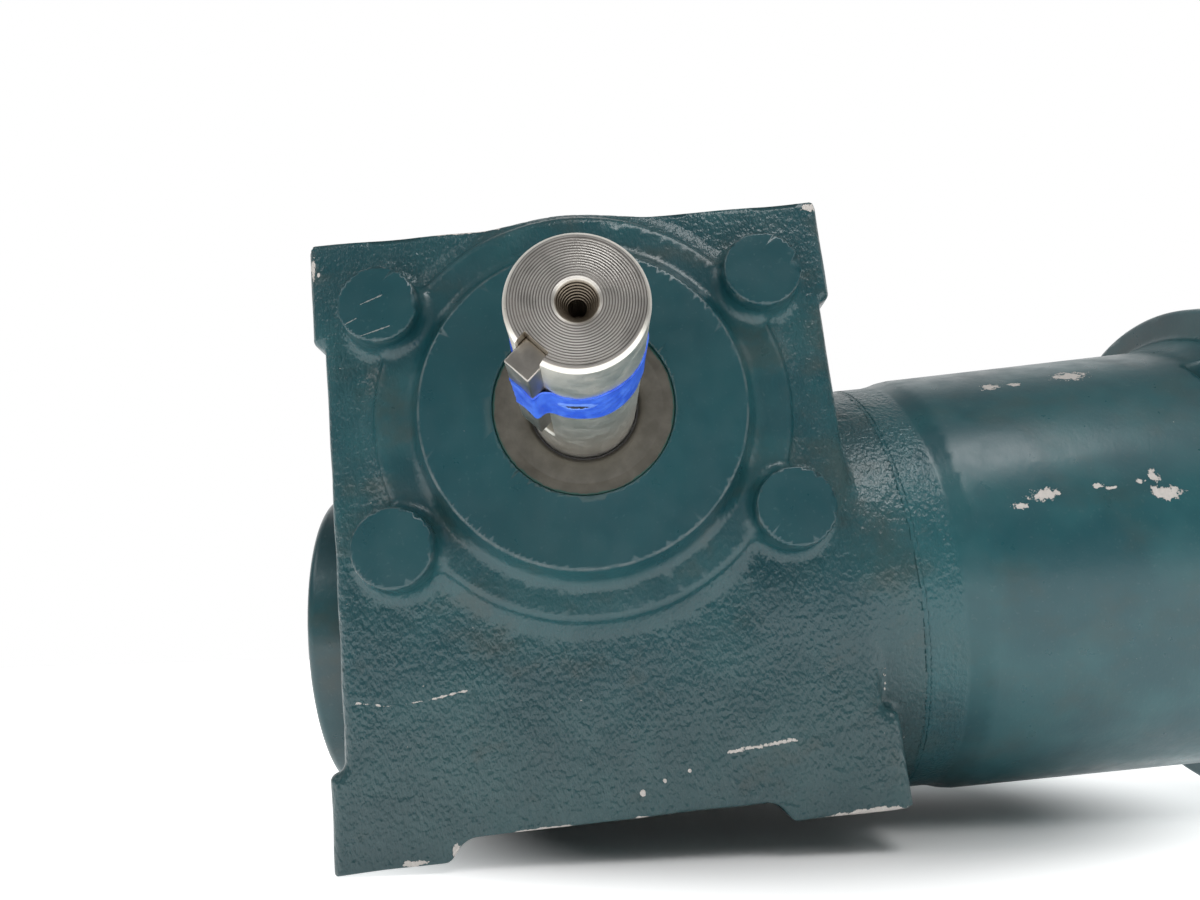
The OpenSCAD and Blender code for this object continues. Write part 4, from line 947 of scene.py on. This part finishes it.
def tape_band():
    """A band stretched round the shaft and over the key, tented where it leaves the shaft, and torn."""
    def skin(angle, r, lift):
        u = r * np.cos(angle)
        v = r * np.sin(angle)
        across = np.abs(-u * math.sin(KEY_ANGLE) + v * math.cos(KEY_ANGLE))
        out = u * math.cos(KEY_ANGLE) + v * math.sin(KEY_ANGLE)
        bar = meet(across - slot_half, out - SHAFT_R - slot_half, 0.7)
        bar = np.maximum(bar, -out)
        return join(np.hypot(u, v) - SHAFT_R, bar, 2.2) - lift

    dense = np.linspace(0, 2 * np.pi, 3600, endpoint=False)
    loops = []
    for lift in (0.03, 0.30):
        low = np.full(dense.shape, SHAFT_R - 1)
        high = np.full(dense.shape, SHAFT_R + 6)
        for _ in range(30):
            middle = (low + high) / 2
            outside = skin(dense, middle, lift) > 0
            high = np.where(outside, middle, high)
            low = np.where(outside, low, middle)
        loops.append(low)
    outer = np.stack([loops[1] * np.cos(dense), loops[1] * np.sin(dense)], 1)
    steps = np.hypot(*(np.roll(outer, -1, 0) - outer).T)
    reach = np.concatenate([[0], np.cumsum(steps)])[:-1]
    around = 300
    rows = 44
    angles = np.interp(np.linspace(0, steps.sum(), around, endpoint=False), reach, dense)
    inner_r = np.interp(angles, dense, loops[0])
    outer_r = np.interp(angles, dense, loops[1])
    off_key = (angles - KEY_ANGLE + math.pi) % (2 * math.pi) - math.pi
    pull = np.exp(-(off_key / 0.24) ** 2)
    wave = 0.5 * np.sin(3 * angles + 1) + 0.35 * np.sin(7 * angles) + 0.18 * np.sin(23 * angles + 2)
    wave_rear = 0.5 * np.sin(2 * angles + 2) + 0.4 * np.sin(5 * angles + 1) + 0.15 * np.sin(19 * angles)
    right = np.exp(-((np.minimum(angles, 2 * math.pi - angles)) / 0.7) ** 2)
    front = TAPE_Y[0] + 0.8 * wave - 4.2 * pull + 2.0 * right
    rear = TAPE_Y[1] + 0.8 * wave_rear - 5.6 * pull
    points = []
    for r, grow in ((outer_r, 1), (inner_r, 0)):
        for j in range(rows):
            t = j / (rows - 1)
            y = front + (rear - front) * t
            x = r * np.cos(angles)
            z = r * np.sin(angles)
            near_tear = np.hypot((x - TEAR[0]) / 2.5, (y - TEAR[1]) / 1.05)
            near_tear = np.where(z < 0, near_tear, 9)
            lift = 0.22 * np.exp(-((near_tear - 1.25) / 0.35) ** 2) - 0.24 * (near_tear < 1)
            crease = 0.07 * np.sin(14 * angles + 0.8 * y) * np.sin(0.7 * y + 3 * angles)
            edge_lift = 0.16 * (np.exp(-20 * t) + np.exp(-20 * (1 - t)))
            edge_lift = edge_lift * (0.6 + 0.4 * np.sin(5 * angles + 1))
            new_r = r + grow * (lift + crease + edge_lift)
            points.append(np.stack([new_r * np.cos(angles), y, new_r * np.sin(angles)], 1))
    points = np.concatenate(points) * MM
    faces = []
    for side in range(2):
        for j in range(rows - 1):
            for i in range(around):
                a = (side * rows + j) * around + i
                b = (side * rows + j) * around + (i + 1) % around
                faces.append((a, b, b + around, a + around))
    for j in (0, rows - 1):
        for i in range(around):
            a = j * around + i
            b = j * around + (i + 1) % around
            faces.append((a, b, b + rows * around, a + rows * around))
    mesh = bpy.data.meshes.new("shaft_tape_stretched")
    mesh.from_pydata(points.tolist(), [], faces)
    made = new_object("shaft_tape_stretched", mesh, finishes["blue_tape"])
    tidy_mesh(made, 50)
    return made


stand_in(tape_band(), "shaft_tape_band")

# ---------- output seal ----------

seal_profile = (
    arc(SEAL_R - 0.45, 1.45, 0.45, 0, -90, 6)
    + [(22.6, 1.0), (22.2, 1.12), (21.7, 1.12), (21.3, 1.0), (17.2, 1.0), (16.3, 1.25), (15.7, 1.9)]
    + [(15.1, 2.6), (15.1, 2.9), (15.9, 2.9), (18, 2.6), (24, 2.6), (24, 11), (SEAL_R, 11)]
)
stand_in(lathe("output_seal_cup", seal_profile, "Y", seal_finish(), 192, 35), "output_seal_case")

# ---------- parts kept from CAD ----------

FASTENERS = {
    "rear_cover_bolts": 0.25, "worm_end_bolts": 0.25, "adapter_bolts": 0.25,
    "fill_plug": 0.3, "level_plug": 0.3,
    "drain_plug": 0.3, "vent_plug": 0.3, "worm_coupling_hub": 0.5, "motor_coupling_hub": 0.5,
    "coupling_spider": 0.5, "worm_locknut": 0.3,
}
for name, node in frame["nodes"].items():
    if node.hide_render:
        continue
    node.data.materials.clear()
    node.data.materials.append(finishes[slot_of[name]])
    weld = node.modifiers.new("weld", "WELD")
    weld.merge_threshold = 1e-6
    if name in FASTENERS:
        soften(node, FASTENERS[name])
    split = node.modifiers.new("split", "EDGE_SPLIT")
    split.split_angle = math.radians(32)
    node.data.polygons.foreach_set("use_smooth", np.ones(len(node.data.polygons), bool))

# ---------- floor, light and camera ----------


def floor():
    """A pale sheet under the left foot's edge and the flange's rim, on which the gearbox stands tipped. It
    glows with painted light, brighter away from the gearbox and in front of it, with a painted shadow close
    round it.
    """
    foot = Vector((-77.0, 0, -116.0)) * MM
    rim = Vector((211.0, 0, -138.5)) * MM
    along = (rim - foot).normalized()
    up = Vector((-along.z, 0, along.x))
    start = foot - 0.0003 * up
    cells = 24
    points = []
    for i in range(cells + 1):
        for j in range(cells + 1):
            u = 6.0 * (i / cells - 0.5)
            v = 5.0 * (j / cells) - 1.2
            points.append(start + along * u + Vector((0, 1, 0)) * v)
    faces = []
    for i in range(cells):
        for j in range(cells):
            a = i * (cells + 1) + j
            faces.append((a, a + cells + 1, a + cells + 2, a + 1))
    mesh = bpy.data.meshes.new("floor")
    mesh.from_pydata([tuple(p) for p in points], [], faces)
    shade = Shade("floor_white")
    tint = shade.mix(shade.noise(180, 2), (0.86, 0.86, 0.85), (0.90, 0.90, 0.895))
    # The floor's emission is painted light: none close round the gearbox, which leaves a painted shadow
    # there, more further out and more again in front.
    away = shade.vector("LENGTH", shade.vector("SUBTRACT", shade.place, (0.05, 0.08, -0.12)))
    front = shade.level(shade.xyz()[1], -0.02, 0.03, 1.0, 0.0)
    near = shade.level(away, 0.075, 0.15, 0.0, 0.8)
    floor_painted_light = shade.math("ADD", near, shade.level(away, 0.18, 0.36, 0.0, 0.15))
    floor_painted_light = shade.math("ADD", floor_painted_light, shade.math("MULTIPLY", front, 0.34))
    shade.set(Base_Color=tint, Roughness=0.75, Specular_IOR_Level=0.3)
    shade.set(Emission_Color=(1, 1, 1, 1), Emission_Strength=floor_painted_light)
    return new_object("floor", mesh, shade.material)


def area_light(name, place, aim, size, brightness, colour=(1, 1, 1)):
    """A soft panel, in mm, whose face shines brightness times as bright as white paper."""
    data = bpy.data.lights.new(name, "AREA")
    data.shape = "RECTANGLE"
    data.size = size[0] * MM
    data.size_y = size[1] * MM
    data.energy = brightness * math.pi * data.size * data.size_y
    data.color = colour
    light = bpy.data.objects.new(name, data)
    bpy.context.scene.collection.objects.link(light)
    light.location = Vector(place) * MM
    light.rotation_euler = (Vector(aim) * MM - light.location).to_track_quat("-Z", "Y").to_euler()
    return light


def world_light(seen, dim, behind):
    """White behind the object for the camera. What it lights is dim, but for the white wall behind."""
    world = bpy.data.worlds.new("studio")
    world.use_nodes = True
    bpy.context.scene.world = world
    tree = world.node_tree
    back = next(n for n in tree.nodes if n.type == "BACKGROUND")
    where = tree.nodes.new("ShaderNodeTexCoord")
    split = tree.nodes.new("ShaderNodeSeparateXYZ")
    tree.links.new(where.outputs["Generated"], split.inputs[0])
    wall = tree.nodes.new("ShaderNodeMapRange")
    wall.interpolation_type = "SMOOTHSTEP"
    wall.inputs["From Min"].default_value = 0.25
    wall.inputs["From Max"].default_value = 0.65
    wall.inputs["To Min"].default_value = dim
    wall.inputs["To Max"].default_value = behind
    tree.links.new(split.outputs["Y"], wall.inputs["Value"])
    path = tree.nodes.new("ShaderNodeLightPath")
    mix = tree.nodes.new("ShaderNodeMix")
    mix.data_type = "FLOAT"
    mix.inputs[3].default_value = seen
    tree.links.new(wall.outputs[0], mix.inputs[2])
    tree.links.new(path.outputs["Is Camera Ray"], mix.inputs[0])
    tree.links.new(mix.outputs[0], back.inputs["Strength"])
    back.inputs["Color"].default_value = (1, 1, 1, 1)


ground = floor()
lights = [
    area_light("main_panel", (330, -455, 700), (40, 0, -20), (540, 330), 5.6),
    area_light("side_strip", (1150, -455, 740), (150, 0, 0), (900, 300), 1.0),
    area_light("left_strip", (-700, -430, 720), (0, 0, 0), (900, 330), 1.8),
]
world_light(1.0, 0.24, 0.95)

camera_data = bpy.data.cameras.new("camera")
camera_data.lens = 25.984
camera_data.sensor_width = 36
camera_data.sensor_fit = "HORIZONTAL"
camera_data.shift_x = -0.01628
camera_data.shift_y = 0.02068
camera_data.clip_start = 0.01
camera = bpy.data.objects.new("camera", camera_data)
bpy.context.scene.collection.objects.link(camera)
camera.location = Vector((-2.26, -229.64, -62.89)) * MM
camera.rotation_euler = tuple(math.radians(a) for a in (100.502, 6.145, -1.332))
bpy.context.scene.camera = camera
bpy.context.scene.view_settings.view_transform = "Standard"
